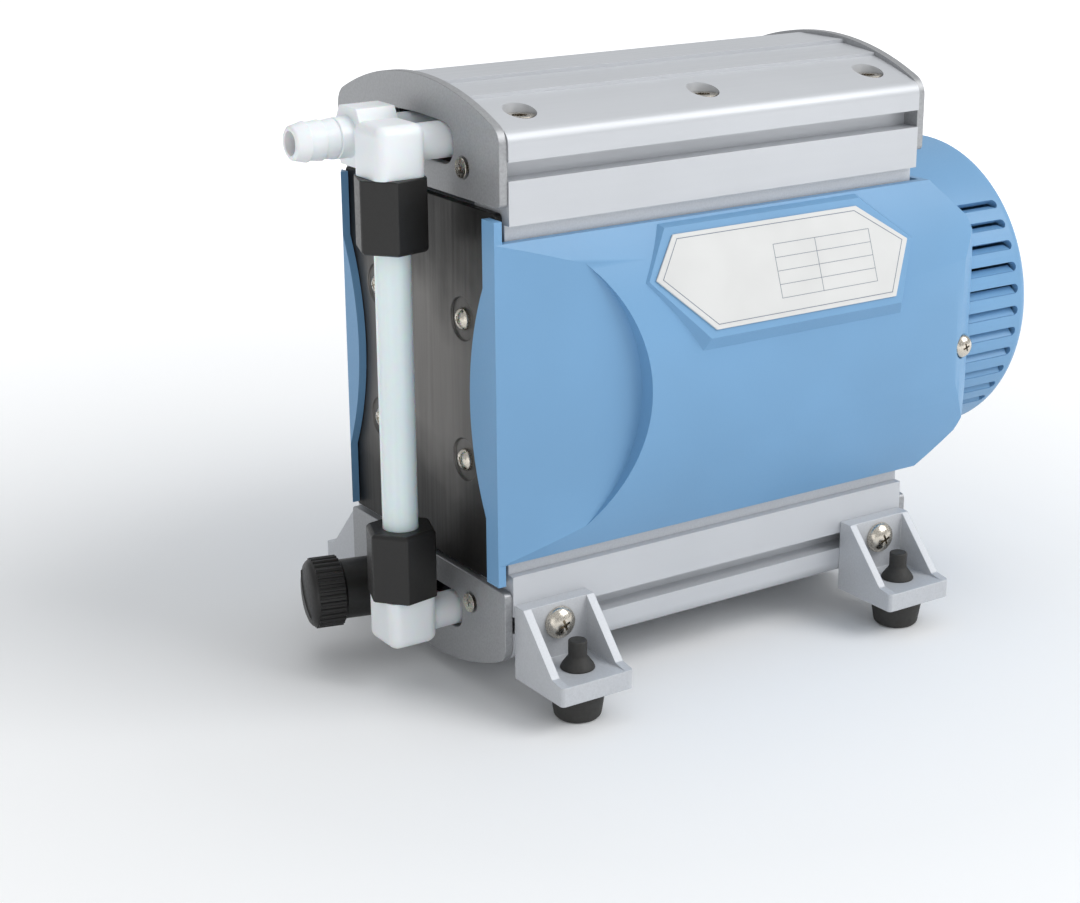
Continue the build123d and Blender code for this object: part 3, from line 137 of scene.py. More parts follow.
# ------------------------------------------------------------------ finishes of this pump
def anodised_profile():
    """Satin extrusion with faint drawing lines along its length."""
    finish, tree, shader = start_finish("anodised_profile")
    lines = grain(tree, scale=900, detail=2, stretch=(0.012, 1, 1))
    clouds = grain(tree, scale=22, detail=2)
    silver = (0.56, 0.575, 0.60)
    two_toned(tree, shader, clouds, dark=shaded(silver, 0.95), light=silver)
    uneven_gloss(tree, shader, lines, low=0.36, high=0.48)
    shader.inputs["Metallic"].default_value = 0.25
    relief(tree, shader, lines, depth=0.02 * MM, strength=0.25)
    return finish


def coated_cap():
    """Grey satin coat of the end caps, with a fine speckle."""
    finish, tree, shader = start_finish("coated_cap")
    speckle = grain(tree, scale=1600, detail=2)
    grey = (0.36, 0.365, 0.375)
    two_toned(tree, shader, speckle, dark=shaded(grey, 0.88), light=shaded(grey, 1.1))
    uneven_gloss(tree, shader, speckle, low=0.38, high=0.5)
    shader.inputs["Metallic"].default_value = 0.55
    relief(tree, shader, speckle, depth=0.03 * MM, strength=0.3)
    return finish


def plate_with_painted_reflection():
    """Bare front plate: grey-brown in the middle, with a painted dark reflection, near black and with a
    cloudy border, towards its upper and lower ends.
    """
    # noise swings the border of the painted reflection up and down by up to this much
    reflection_swing = 50 * MM
    finish, tree, shader = start_finish("plate_with_painted_reflection")
    where = tree.nodes.new("ShaderNodeTexCoord")
    split = tree.nodes.new("ShaderNodeSeparateXYZ")
    tree.links.new(where.outputs["Object"], split.inputs["Vector"])
    reflection_edge_noise = grain(tree, scale=30, detail=3)
    shift = tree.nodes.new("ShaderNodeMath")
    shift.operation = "MULTIPLY_ADD"
    shift.inputs[1].default_value = reflection_swing
    tree.links.new(reflection_edge_noise, shift.inputs[0])
    tree.links.new(split.outputs["Z"], shift.inputs[2])
    span = tree.nodes.new("ShaderNodeMapRange")
    low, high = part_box("front_plate")
    span.inputs["From Min"].default_value = low.z + reflection_swing / 2
    span.inputs["From Max"].default_value = high.z + reflection_swing / 2
    tree.links.new(shift.outputs["Value"], span.inputs["Value"])
    brown = (0.17, 0.163, 0.155)
    # painted reflection: near black towards the plate's top and bottom stands for dark surroundings
    # reflected in the bare metal; the brown in the middle is the plate's own colour
    painted_reflection_bands = graded(tree, span.outputs["Result"], [
        (0.0, shaded(brown, 0.12)), (0.20, shaded(brown, 0.35)), (0.38, brown),
        (0.66, shaded(brown, 0.95)), (0.84, shaded(brown, 0.32)), (1.0, shaded(brown, 0.10)),
    ])
    tree.links.new(painted_reflection_bands, shader.inputs["Base Color"])
    rolled = grain(tree, scale=700, detail=2, stretch=(1, 1, 0.03))
    uneven_gloss(tree, shader, rolled, low=0.34, high=0.5)
    shader.inputs["Metallic"].default_value = 0.8
    relief(tree, shader, rolled, depth=0.02 * MM, strength=0.2)
    return finish


def blasted_casting(name, colour):
    """Coated die casting with a fine sandy relief and slightly brighter high spots."""
    finish, tree, shader = start_finish(name)
    sand = grain(tree, scale=1800, detail=3)
    two_toned(tree, shader, sand, dark=shaded(colour, 0.93), light=shaded(colour, 1.04))
    uneven_gloss(tree, shader, sand, low=0.42, high=0.54)
    shader.inputs["Metallic"].default_value = 0.2
    relief(tree, shader, sand, depth=0.03 * MM, strength=0.3)
    return finish


def plated_steel(name, colour, roughness):
    """Nickel-plated or machined steel with faint turning marks."""
    finish, tree, shader = start_finish(name)
    marks = grain(tree, scale=2400, detail=3)
    two_toned(tree, shader, marks, dark=shaded(colour, 0.85), light=shaded(colour, 1.1))
    uneven_gloss(tree, shader, marks, low=roughness - 0.06, high=roughness + 0.08)
    shader.inputs["Metallic"].default_value = 1.0
    relief(tree, shader, marks, depth=0.01 * MM, strength=0.3)
    return finish


def moulded_plastic(name, colour, roughness, pebble, depth, soft=0.0, glow_depth=1 * MM):
    """Moulded plastic with a fine eroded texture; soft lets light spread under the surface."""
    finish, tree, shader = start_finish(name)
    texture = grain(tree, scale=pebble, detail=3)
    flow = grain(tree, scale=18, detail=2)
    two_toned(tree, shader, flow, dark=shaded(colour, 0.94), light=shaded(colour, 1.04))
    uneven_gloss(tree, shader, texture, low=roughness - 0.05, high=roughness + 0.08)
    relief(tree, shader, texture, depth, strength=0.35)
    shader.inputs["Subsurface Weight"].default_value = soft
    shader.inputs["Subsurface Scale"].default_value = glow_depth
    return finish


def milky_tube():
    """Milky tube wall that lets part of the light through."""
    finish, tree, shader = start_finish("milky_tube")
    drawn = grain(tree, scale=500, detail=2, stretch=(1, 1, 0.04))
    milk = (0.93, 0.96, 0.985)
    two_toned(tree, shader, drawn, dark=shaded(milk, 0.95), light=milk)
    uneven_gloss(tree, shader, drawn, low=0.16, high=0.26)
    shader.inputs["Transmission Weight"].default_value = 0.05
    shader.inputs["IOR"].default_value = 1.38
    shader.inputs["Subsurface Weight"].default_value = 0.5
    shader.inputs["Subsurface Scale"].default_value = 3 * MM
    return finish


def bare_foil():
    """Bare white foil, very slightly uneven."""
    finish, tree, shader = start_finish("printed_foil")
    film = grain(tree, scale=60, detail=2)
    two_toned(tree, shader, film, dark=(0.64, 0.64, 0.63), light=(0.68, 0.68, 0.67))
    uneven_gloss(tree, shader, film, low=0.30, high=0.40)
    relief(tree, shader, grain(tree, scale=1400, detail=2), depth=0.01 * MM, strength=0.2)
    return finish


BLUE = (0.160, 0.340, 0.560)
BLACK = (0.0085, 0.0078, 0.0072)
WHITE = (0.82, 0.855, 0.875)
FINISHES = {
    "profile_alloy": anodised_profile(),
    "cap_grey": coated_cap(),
    "cast_alloy": blasted_casting("blasted_casting", (0.55, 0.565, 0.59)),
    "plate_steel": plate_with_painted_reflection(),
    "screw_steel": plated_steel("nickel_screws", (0.66, 0.61, 0.53), roughness=0.24),
    "blue_plastic": moulded_plastic("blue_cover", BLUE, 0.42, pebble=1500, depth=0.04 * MM),
    "sign_foil": bare_foil(),
    "black_plastic": moulded_plastic("black_moulding", BLACK, 0.42, pebble=1300, depth=0.04 * MM),
    "white_plastic": moulded_plastic(
        "white_fitting", WHITE, 0.34, pebble=900, depth=0.02 * MM, soft=0.35, glow_depth=2.5 * MM
    ),
    "tube_plastic": milky_tube(),
    "foot_rubber": moulded_plastic(
        "foot_rubber", (0.030, 0.029, 0.027), 0.66, pebble=1000, depth=0.06 * MM
    ),
    "diaphragm_rubber": moulded_plastic(
        "diaphragm_rubber", (0.022, 0.022, 0.022), 0.6, pebble=900, depth=0.03 * MM
    ),
    "inner_alloy": blasted_casting("port_block_black", (0.035, 0.035, 0.038)),
    "inner_steel": plated_steel("machined_steel", (0.42, 0.42, 0.43), roughness=0.36),
}
RULE_INK = moulded_plastic("rule_ink", (0.20, 0.23, 0.28), 0.4, pebble=900, depth=0.01 * MM)
KNOB_LINE = moulded_plastic("knob_line", (0.02, 0.019, 0.018), 0.35, pebble=900, depth=0.02 * MM)


# ------------------------------------------------------------------ building blocks for pieces
def wear(piece, finish):
    piece.data.materials.clear()
    piece.data.materials.append(finish)


def piece_from(mesh, name):
    piece = bpy.data.objects.new(name, mesh)
    bpy.context.scene.collection.objects.link(piece)
    return piece


def mount_piece(piece, body, slot, finish=None):
    """Gives a new piece its finish and lets it ride on a body."""
    wear(piece, finish or FINISHES[slot])
    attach(piece, body)


def smooth_with_edges(piece, angle):
    """Smooth shading that keeps edges above the angle (degrees) crisp."""
    piece.data.shade_smooth()
    piece.data.set_sharp_from_angle(angle=math.radians(angle))


def plain_mesh_of(piece):
    """The piece's mesh with its modifiers worked out."""
    bpy.context.view_layer.update()
    return bpy.data.meshes.new_from_object(piece.evaluated_get(bpy.context.evaluated_depsgraph_get()))


def mesh_from(shape, name):
    mesh = bpy.data.meshes.new(name)
    shape.to_mesh(mesh)
    shape.free()
    return mesh


def eased(node, radius, segments=2, angle=32.0):
    """A merged copy of a CAD solid with its edges eased, standing for the solid."""
    merge_distance = 0.001 * MM
    flat_enough = math.radians(0.6)
    mesh = frame["nodes"][node].data.copy()
    shape = bmesh.new()
    shape.from_mesh(mesh)
    bmesh.ops.remove_doubles(shape, verts=shape.verts, dist=merge_distance)
    bmesh.ops.dissolve_limit(shape, angle_limit=flat_enough, verts=shape.verts, edges=shape.edges)
    shape.to_mesh(mesh)
    shape.free()
    piece = piece_from(mesh, node + "_eased")
    smooth_with_edges(piece, angle)
    bevel = piece.modifiers.new("eased_edges", "BEVEL")
    bevel.width = radius
    bevel.segments = segments
    bevel.limit_method = "ANGLE"
    bevel.angle_limit = math.radians(angle)
    bevel.miter_outer = "MITER_ARC"
    normals = piece.modifiers.new("even_shading", "WEIGHTED_NORMAL")
    normals.keep_sharp = True
    mount_piece(piece, BODY_OF[node], SLOT_OF[node])
    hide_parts(node)


def turned(name, outline, origin, direction, steps=96):
    """A solid turned from (radius, distance) points round an axis."""
    direction = Vector(direction).normalized()
    across = direction.orthogonal().normalized()
    third = direction.cross(across)
    shape = bmesh.new()
    rings = []
    for radius, along in outline:
        centre = Vector(origin) + direction * along
        if radius == 0:
            rings.append([shape.verts.new(centre)])
        else:
            rings.append([
                shape.verts.new(centre + (across * math.cos(a) + third * math.sin(a)) * radius)
                for a in (2 * math.pi * i / steps for i in range(steps))
            ])
    for first, second in zip(rings, rings[1:]):
        for i in range(steps):
            j = (i + 1) % steps
            near = [first[0]] if len(first) == 1 else [first[i], first[j]]
            far = [second[0]] if len(second) == 1 else [second[j], second[i]]
            shape.faces.new(near + far)
    bmesh.ops.recalc_face_normals(shape, faces=shape.faces)
    piece = piece_from(mesh_from(shape, name), name)
    smooth_with_edges(piece, 40)
    return piece


# ------------------------------------------------------------------ geometry node trees
def add_input(tree, name, kind, value):
    socket = tree.interface.new_socket(name=name, in_out="INPUT", socket_type=kind)
    socket.default_value = value


def dressed_result(tree, place, material):
    """Ends a tree: the instances made real, and given their material."""
    tree.interface.new_socket(name="Pieces", in_out="OUTPUT", socket_type="NodeSocketGeometry")
    real = tree.nodes.new("GeometryNodeRealizeInstances")
    dress = tree.nodes.new("GeometryNodeSetMaterial")
    dress.inputs["Material"].default_value = material
    result = tree.nodes.new("NodeGroupOutput")
    tree.links.new(place.outputs["Instances"], real.inputs["Geometry"])
    tree.links.new(real.outputs["Geometry"], dress.inputs["Geometry"])
    tree.links.new(dress.outputs["Geometry"], result.inputs["Pieces"])


def worked_out(tree, operation, first, second):
    """One sum in a tree; each side is a socket or a plain number."""
    step = tree.nodes.new("ShaderNodeMath")
    step.operation = operation
    for socket, value in zip(step.inputs, (first, second)):
        if isinstance(value, (int, float)):
            socket.default_value = value
        else:
            tree.links.new(value, socket)
    return step.outputs["Value"]


def ring_of_ribs(name, material):
    """Tree: rounded ribs along Z, set evenly on a circle."""
    tree = bpy.data.node_groups.new(name, "GeometryNodeTree")
    add_input(tree, "Count", "NodeSocketInt", 36)
    add_input(tree, "Ring radius", "NodeSocketFloat", 0.01)
    add_input(tree, "Rib radius", "NodeSocketFloat", 0.0005)
    add_input(tree, "Rib length", "NodeSocketFloat", 0.008)
    make, link = tree.nodes.new, tree.links.new
    source = make("NodeGroupInput")
    ring = make("GeometryNodeMeshCircle")
    link(source.outputs["Count"], ring.inputs["Vertices"])
    link(source.outputs["Ring radius"], ring.inputs["Radius"])
    rib = make("GeometryNodeMeshCylinder")
    rib.inputs["Vertices"].default_value = 10
    link(source.outputs["Rib radius"], rib.inputs["Radius"])
    link(source.outputs["Rib length"], rib.inputs["Depth"])
    place = make("GeometryNodeInstanceOnPoints")
    link(ring.outputs["Mesh"], place.inputs["Points"])
    link(rib.outputs["Mesh"], place.inputs["Instance"])
    dressed_result(tree, place, material)
    return tree


def fan_of_slats(name, material):
    """Tree: leaning slats along Z, set at even steps about it on both sides of X."""
    tree = bpy.data.node_groups.new(name, "GeometryNodeTree")
    add_input(tree, "Count", "NodeSocketInt", 11)
    add_input(tree, "Step", "NodeSocketFloat", 0.14)
    add_input(tree, "Slat size", "NodeSocketVector", (0.003, 0.0005, 0.02))
    add_input(tree, "Slat place", "NodeSocketVector", (0.046, 0, 0))
    add_input(tree, "Lean", "NodeSocketFloat", 0.8)
    make, link = tree.nodes.new, tree.links.new
    source = make("NodeGroupInput")
    slat = make("GeometryNodeMeshCube")
    link(source.outputs["Slat size"], slat.inputs["Size"])
    lean = make("ShaderNodeCombineXYZ")
    link(source.outputs["Lean"], lean.inputs["Z"])
    leaning = make("GeometryNodeTransform")
    link(slat.outputs["Mesh"], leaning.inputs["Geometry"])
    link(source.outputs["Slat place"], leaning.inputs["Translation"])
    link(lean.outputs["Vector"], leaning.inputs["Rotation"])
    hub = make("GeometryNodeMeshLine")
    link(source.outputs["Count"], hub.inputs["Count"])
    hub.inputs["Offset"].default_value = (0, 0, 0)
    halfway = worked_out(tree, "DIVIDE", worked_out(tree, "SUBTRACT", source.outputs["Count"], 1.0), 2.0)
    index = make("GeometryNodeInputIndex").outputs["Index"]
    from_halfway = worked_out(tree, "SUBTRACT", index, halfway)
    turn = make("ShaderNodeCombineXYZ")
    link(worked_out(tree, "MULTIPLY", from_halfway, source.outputs["Step"]), turn.inputs["Z"])
    place = make("GeometryNodeInstanceOnPoints")
    link(hub.outputs["Mesh"], place.inputs["Points"])
    link(leaning.outputs["Geometry"], place.inputs["Instance"])
    link(turn.outputs["Vector"], place.inputs["Rotation"])
    dressed_result(tree, place, material)
    return tree


def grown(name, tree, inputs, placing=Matrix(), seed_mesh=None, crisp_from=40):
    """Plain mesh piece grown by a node tree from a seed mesh, with the tree's inputs set by name."""
    seed = piece_from(seed_mesh or bpy.data.meshes.new(name + "_seed"), name + "_seed")
    modifier = seed.modifiers.new("grow", "NODES")
    modifier.node_group = tree
    for item in tree.interface.items_tree:
        if item.item_type == "SOCKET" and item.in_out == "INPUT" and item.name in inputs:
            modifier[item.identifier] = inputs[item.name]
    mesh = plain_mesh_of(seed)
    mesh.transform(placing)
    bpy.data.objects.remove(seed)
    piece = piece_from(mesh, name)
    smooth_with_edges(piece, crisp_from)
    return piece


def set_screws(name, material):
    """Tree: one screw on each point of the seed mesh, turned and sized by the point's attributes."""
    tree = bpy.data.node_groups.new(name, "GeometryNodeTree")
    tree.interface.new_socket(name="Places", in_out="INPUT", socket_type="NodeSocketGeometry")
    tree.interface.new_socket(name="Screw", in_out="INPUT", socket_type="NodeSocketObject")
    add_input(tree, "Overall size", "NodeSocketFloat", 1.0)
    make, link = tree.nodes.new, tree.links.new
    source = make("NodeGroupInput")
    pattern = make("GeometryNodeObjectInfo")
    link(source.outputs["Screw"], pattern.inputs["Object"])
    outward, size = make("GeometryNodeInputNamedAttribute"), make("GeometryNodeInputNamedAttribute")
    outward.data_type = size.data_type = "FLOAT_VECTOR"
    outward.inputs["Name"].default_value = "outward"
    size.inputs["Name"].default_value = "size"
    turn = make("FunctionNodeAlignRotationToVector")
    turn.axis = "Z"
    link(outward.outputs["Attribute"], turn.inputs["Vector"])
    grow = make("ShaderNodeVectorMath")
    grow.operation = "SCALE"
    link(size.outputs["Attribute"], grow.inputs[0])
    link(source.outputs["Overall size"], grow.inputs["Scale"])
    place = make("GeometryNodeInstanceOnPoints")
    link(source.outputs["Places"], place.inputs["Points"])
    link(pattern.outputs["Geometry"], place.inputs["Instance"])
    link(turn.outputs["Rotation"], place.inputs["Rotation"])
    link(grow.outputs["Vector"], place.inputs["Scale"])
    dressed_result(tree, place, material)
    return tree


def cross_head_pattern(name, outline):
    """Screw of head diameter 1 along Z, with a cross recess cut in it; lengths are in head diameters."""
    arm_size = (0.52, 0.105, 0.4)
    arm_foot = (0.45, 0.6)  # share of the arm's length and width that is left at its bottom
    recess_turn = 0.35  # radians
    recess_rise = 0.02  # middle of the arms above the crown
    screw = turned(name, outline, (0, 0, 0), (0, 0, 1), steps=48)
    cutter_shape = bmesh.new()
    for angle in (0, math.pi / 2):
        arm = bmesh.ops.create_cube(cutter_shape, size=1.0)["verts"]
        bmesh.ops.scale(cutter_shape, vec=arm_size, verts=arm)
        for corner in arm:
            if corner.co.z < 0:
                corner.co.x *= arm_foot[0]
                corner.co.y *= arm_foot[1]
        bmesh.ops.rotate(cutter_shape, matrix=Matrix.Rotation(angle + recess_turn, 3, "Z"), verts=arm)
        bmesh.ops.translate(cutter_shape, vec=(0, 0, outline[-1][1] + recess_rise), verts=arm)
    cutter = piece_from(mesh_from(cutter_shape, name + "_recess"), name + "_recess")
    cut = screw.modifiers.new("recess", "BOOLEAN")
    cut.object = cutter
    cut.operation = "DIFFERENCE"
    cut.use_self = True
    shaped = plain_mesh_of(screw)
    for old in (screw, cutter):
        bpy.data.objects.remove(old)
    return piece_from(shaped, name)


# Half outlines of screws along Z as (radius, height), in head diameters; the seat is at height 0.
DOME_HEAD = [(0, -1.0), (0.25, -1.0), (0.25, 0), (0.49, 0), (0.5, 0.02), (0.5, 0.08), (0.46, 0.17),
             (0.38, 0.25), (0.27, 0.31), (0.14, 0.345), (0, 0.355)]
FLAT_HEAD = [(0, -0.7), (0.25, -0.7), (0.25, -0.25), (0.5, -0.01), (0.49, 0.01), (0, 0.03)]


def screw_set(name, node, pattern, seats):
    """One plain mesh of screws; each seat is (point, outward direction, head diameter)."""
    mesh = bpy.data.meshes.new(name + "_seed")
    mesh.from_pydata([seat[0] for seat in seats], [], [])
    outward = mesh.attributes.new("outward", "FLOAT_VECTOR", "POINT")
    size = mesh.attributes.new("size", "FLOAT_VECTOR", "POINT")
    for i, (_, direction, diameter) in enumerate(seats):
        outward.data[i].vector = direction
        size.data[i].vector = (diameter,) * 3
    tree = set_screws(name + "_setting", FINISHES["screw_steel"])
    piece = grown(name, tree, {"Screw": pattern}, seed_mesh=mesh, crisp_from=38)
    mount_piece(piece, BODY_OF[node], SLOT_OF[node])
    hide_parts(node)


def outward_x(x):
    return (math.copysign(1, x), 0, 0)


def outward_y(y):
    return (0, math.copysign(1, y), 0)


BRACKET_HEAD_D, COVER_HEAD_D, PLATE_HEAD_D, CAP_HEAD_D = (size * MM for size in (9.4, 7.0, 6.2, 5.6))
DOME_RISE = 3.2 * MM  # seat of a dome head to the outer face of its solid
BRACKET_SCREW_R = 4.5 * MM
PLATE_DIMPLE = 0.6 * MM  # the front plate's screws sit this far below its face
PLATE_SCREW_Y, PLATE_SCREW_Z = 23.3 * MM, 20.0 * MM
CAP_SCREW_Y, CAP_SCREW_Z = 25.5 * MM, 61.6 * MM
FRONT_CAP_SCREW_IN, REAR_CAP_SCREW_IN = 0.2 * MM, 0.05 * MM  # from the ends of the screws' box


def all_screws():
    dome = cross_head_pattern("dome_head", DOME_HEAD)
    flat = cross_head_pattern("flat_head", FLAT_HEAD)
    low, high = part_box("bracket_screws")
    bracket_x = high.x - BRACKET_SCREW_R
    bracket_z = middle("bracket_screws").z
    screw_set("bracket_screw_set", "bracket_screws", dome, [
        ((x, y, bracket_z), outward_y(y), BRACKET_HEAD_D)
        for x in (-bracket_x, bracket_x) for y in (low.y + DOME_RISE, high.y - DOME_RISE)
    ])
    low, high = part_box("cover_screws")
    centre = middle("cover_screws")
    screw_set("cover_screw_set", "cover_screws", dome, [
        ((centre.x, y, centre.z), outward_y(y), COVER_HEAD_D)
        for y in (low.y + DOME_RISE, high.y - DOME_RISE)
    ])
    low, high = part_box("end_screws")
    crank_z = middle("front_plate").z
    plate_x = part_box("front_plate")[0].x + PLATE_DIMPLE
    screw_set("plate_screw_set", "end_screws", dome, [
        ((plate_x, y, crank_z + z), outward_x(plate_x), PLATE_HEAD_D)
        for y in (-PLATE_SCREW_Y, PLATE_SCREW_Y) for z in (-PLATE_SCREW_Z, PLATE_SCREW_Z)
    ])
    screw_set("cap_screw_set", "end_screws", flat, [
        ((x, y, crank_z + z), outward_x(x), CAP_HEAD_D)
        for x in (low.x + FRONT_CAP_SCREW_IN, high.x - REAR_CAP_SCREW_IN)
        for y in (-CAP_SCREW_Y, CAP_SCREW_Y) for z in (-CAP_SCREW_Z, CAP_SCREW_Z)
    ])
    for pattern in (dome, flat):
        bpy.data.objects.remove(pattern)


# ------------------------------------------------------------------ metal parts
def metal_parts():
    for node in ("top_profile", "bottom_profile"):
        eased(node, 0.2 * MM)
    for node in ("top_front_cap", "top_rear_cap", "bottom_front_cap", "bottom_rear_cap"):
        eased(node, 0.45 * MM)
    eased("crankcase", 0.25 * MM)
    eased("front_plate", 0.30 * MM)
    for side in ("right", "left"):
        for end in ("front", "rear"):
            eased(f"{side}_{end}_bracket", 0.55 * MM, 3)
    all_screws()


# ------------------------------------------------------------------ plastic parts
def plastic_parts():
    for node in ("right_cover", "left_cover"):
        eased(node, 0.7 * MM, 3, 26.0)
    eased("fan_drum", 0.4 * MM)
    for node in ("top_elbow", "bottom_elbow"):
        eased(node, 0.5 * MM, 3)
    for node in ("top_union_nut", "bottom_union_nut"):
        eased(node, 0.45 * MM)
    for node in ("inlet_nozzle", "outlet_nozzle"):
        eased(node, 0.35 * MM)
    for node in ("ballast_valve", "cable_gland"):
        eased(node, 0.4 * MM)
    for side in ("right", "left"):
        for end in ("front", "rear"):
            eased(f"{side}_{end}_foot", 0.4 * MM, 3)


# ------------------------------------------------------------------ louvres in the fan drum
SLOTS_PER_SIDE = 11
SLOT_STEP = math.radians(8.3)
SLOTS_BEHIND_EDGE = 27.5 * MM  # drum's front edge to the middle of the slots
SLAT_SIZE = (3.0 * MM, 0.5 * MM, 22.0 * MM)
SLAT_DEPTH = 1.5 * MM  # middle of a slat under the drum's outside
SLAT_DROP = 0.55 * MM  # middle of a slat below the middle of its slot
SLAT_LEAN = math.radians(42.0)


def drum_louvres():
    """A slat leaning inwards across the lower part of every slot in the drum's two sides."""
    tree = fan_of_slats("drum_slat_fan", FINISHES["blue_plastic"])
    low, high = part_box("fan_drum")
    drum_radius = (high.y - low.y) / 2
    slots_middle = Vector((low.x + SLOTS_BEHIND_EDGE, 0, middle("fan_drum").z))
    for name, side in (("right", -1), ("left", 1)):
        along_drum = Matrix(((0, 0, 1, 0), (side, 0, 0, 0), (0, side, 0, 0), (0, 0, 0, 1)))
        slats = grown(f"{name}_drum_louvres", tree, {
            "Count": SLOTS_PER_SIDE,
            "Step": SLOT_STEP,
            "Slat size": SLAT_SIZE,
            "Slat place": (drum_radius - SLAT_DEPTH, -side * SLAT_DROP, 0),
            "Lean": -side * SLAT_LEAN,
        }, Matrix.Translation(slots_middle) @ along_drum)
        mount_piece(slats, BODY_OF["fan_drum"], SLOT_OF["fan_drum"])


# ------------------------------------------------------------------ ballast knob
KNOB_SWING = math.radians(14.0)  # the valve points this far off the pump's length
KNOB_LENGTH = 11.0 * MM
KNOB_BORE_R = 3.1 * MM
KNOB_CROWN = 0.05 * MM  # the crown's middle below the knob's full length
RIB_COUNT = 30
RIB_R = 0.68 * MM
RIB_IN = 0.75 * MM
RIB_START, RIB_END = 0.7 * MM, 2.7 * MM
POINTER_TURN = 0.7  # radians off upright
POINTER_INSET = 3.0 * MM
POINTER_STEPS = 12
POINTER_SECTION = ((-0.5, -0.2), (-0.22, 0.3), (0.22, 0.3), (0.5, -0.2))  # mm across, mm above the face
FACE_SAG, FACE_INSET = 0.65 * MM, 3.4 * MM  # the domed face falls this far at this inset from the rim


def ballast_knob():
    """Domed knob with fine ribs and one line across its face."""
    low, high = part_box("ballast_knob")
    axis = Vector((-math.cos(KNOB_SWING), math.sin(KNOB_SWING), 0))
    radius = (high.z - low.z) / 2
    root = middle("ballast_knob") - axis * KNOB_LENGTH / 2
    # (inset from the rim, distance under the full length) round the domed face
    dome = [(0.6, 2.6), (0.9, 1.9), (1.6, 1.3), (3.4, 0.7), (6.0, 0.3)]
    body = turned("knob_body", [
        (KNOB_BORE_R, 0.2 * MM), (radius - 1.0 * MM, 0.2 * MM), (radius - 0.6 * MM, 0.6 * MM),
        *((radius - inset * MM, KNOB_LENGTH - under * MM) for inset, under in dome),
        (0, KNOB_LENGTH - KNOB_CROWN),
    ], root, axis)
    mount_piece(body, BODY_OF["ballast_knob"], SLOT_OF["ballast_knob"])
    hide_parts("ballast_knob")
    rib_length = KNOB_LENGTH - RIB_START - RIB_END
    turn_to = axis.to_track_quat("Z", "Y").to_matrix().to_4x4()
    ribs = grown("knob_ribs", ring_of_ribs("knob_rib_ring", FINISHES["black_plastic"]), {
        "Count": RIB_COUNT,
        "Ring radius": radius - RIB_IN,
        "Rib radius": RIB_R,
        "Rib length": rib_length,
    }, Matrix.Translation(root + axis * (RIB_START + rib_length / 2)) @ turn_to)
    mount_piece(ribs, BODY_OF["ballast_knob"], SLOT_OF["ballast_knob"])
    knob_pointer(root, axis, radius)


def knob_pointer(root, axis, radius):
    """A low rounded line that follows the knob's domed face from side to side."""
    upright = Vector((0, 0, 1))
    across = (upright * math.cos(POINTER_TURN) + axis.cross(upright) * math.sin(POINTER_TURN)).normalized()
    side = axis.cross(across)
    shape = bmesh.new()
    rows = []
    for i in range(POINTER_STEPS + 1):
        along = (i / POINTER_STEPS - 0.5) * 2 * (radius - POINTER_INSET)
        face = KNOB_LENGTH - KNOB_CROWN - FACE_SAG * (along / (radius - FACE_INSET)) ** 2
        rows.append([
            shape.verts.new(root + across * along + side * offset * MM + axis * (face + lift * MM))
            for offset, lift in POINTER_SECTION
        ])
    for first, second in zip(rows, rows[1:]):
        for i in range(4):
            j = (i + 1) % 4
            shape.faces.new([first[i], second[i], second[j], first[j]])
    shape.faces.new(rows[0])
    shape.faces.new(rows[-1][::-1])
    bmesh.ops.recalc_face_normals(shape, faces=shape.faces)
    pointer = piece_from(mesh_from(shape, "knob_pointer"), "knob_pointer")
    smooth_with_edges(pointer, 40)
    mount_piece(pointer, BODY_OF["ballast_knob"], SLOT_OF["ballast_knob"], KNOB_LINE)


# ------------------------------------------------------------------ type plate with empty rules
# Places on the leaning pad are mm along the pump from its middle, and mm up the pad from its foot.
PAD_ORIGIN = Vector((0, -57.3, 100.5)) * MM
PAD_ALONG = Vector((1, 0, 0))
PAD_UP = Vector((0, 0.3247, 0.9458))
PAD_OUT = Vector((0, -0.9458, 0.3247))
FOIL_RIM = [(-26.8, 17.9), (-11.2, 3.5), (51.8, 3.5), (58.8, 17.9), (43.0, 28.3), (-20.0, 28.3)]
RIM_WIDTH, RULE_WIDTH = 0.22, 0.16
INK_LOW, INK_TOP = 0.5, 0.64  # height of the rules' foot and top above the pad
TABLE_LEFT, TABLE_SPLIT, TABLE_RIGHT = 12.0, 27.0, 47.0
TABLE_TOP, TABLE_ROWS, ROW_STEP = 22.6, 4, 3.8


def pad_point(place, lift):
    return PAD_ORIGIN + PAD_ALONG * place.x * MM + PAD_UP * place.y * MM + PAD_OUT * lift * MM


def add_rule(shape, start, end, width):
    """One flat raised rule on the pad between two places."""
    start, end = Vector(start), Vector(end)
    along = (end - start).normalized() * width / 2
    side = Vector((-along.y, along.x))
    corners = [start - along - side, end + along - side, end + along + side, start - along + side]
    low = [shape.verts.new(pad_point(corner, INK_LOW)) for corner in corners]
    top = [shape.verts.new(pad_point(corner, INK_TOP)) for corner in corners]
    shape.faces.new(top)
    for i in range(4):
        j = (i + 1) % 4
        shape.faces.new([low[i], low[j], top[j], top[i]])
    shape.faces.new(low[::-1])


def ruled_plate():
    """The plate's thin frame and the rules of an empty table."""
    eased("type_plate", 0.12 * MM, 1)
    shape = bmesh.new()
    for start, end in zip(FOIL_RIM, FOIL_RIM[1:] + FOIL_RIM[:1]):
        add_rule(shape, start, end, RIM_WIDTH)
    for row in range(TABLE_ROWS + 1):
        height = TABLE_TOP - row * ROW_STEP
        add_rule(shape, (TABLE_LEFT, height), (TABLE_RIGHT, height), RULE_WIDTH)
    table_foot = TABLE_TOP - TABLE_ROWS * ROW_STEP
    for x in (TABLE_LEFT, TABLE_SPLIT, TABLE_RIGHT):
        add_rule(shape, (x, table_foot), (x, TABLE_TOP), RULE_WIDTH)
    rules = piece_from(mesh_from(shape, "plate_rules"), "plate_rules")
    mount_piece(rules, BODY_OF["type_plate"], SLOT_OF["type_plate"], RULE_INK)


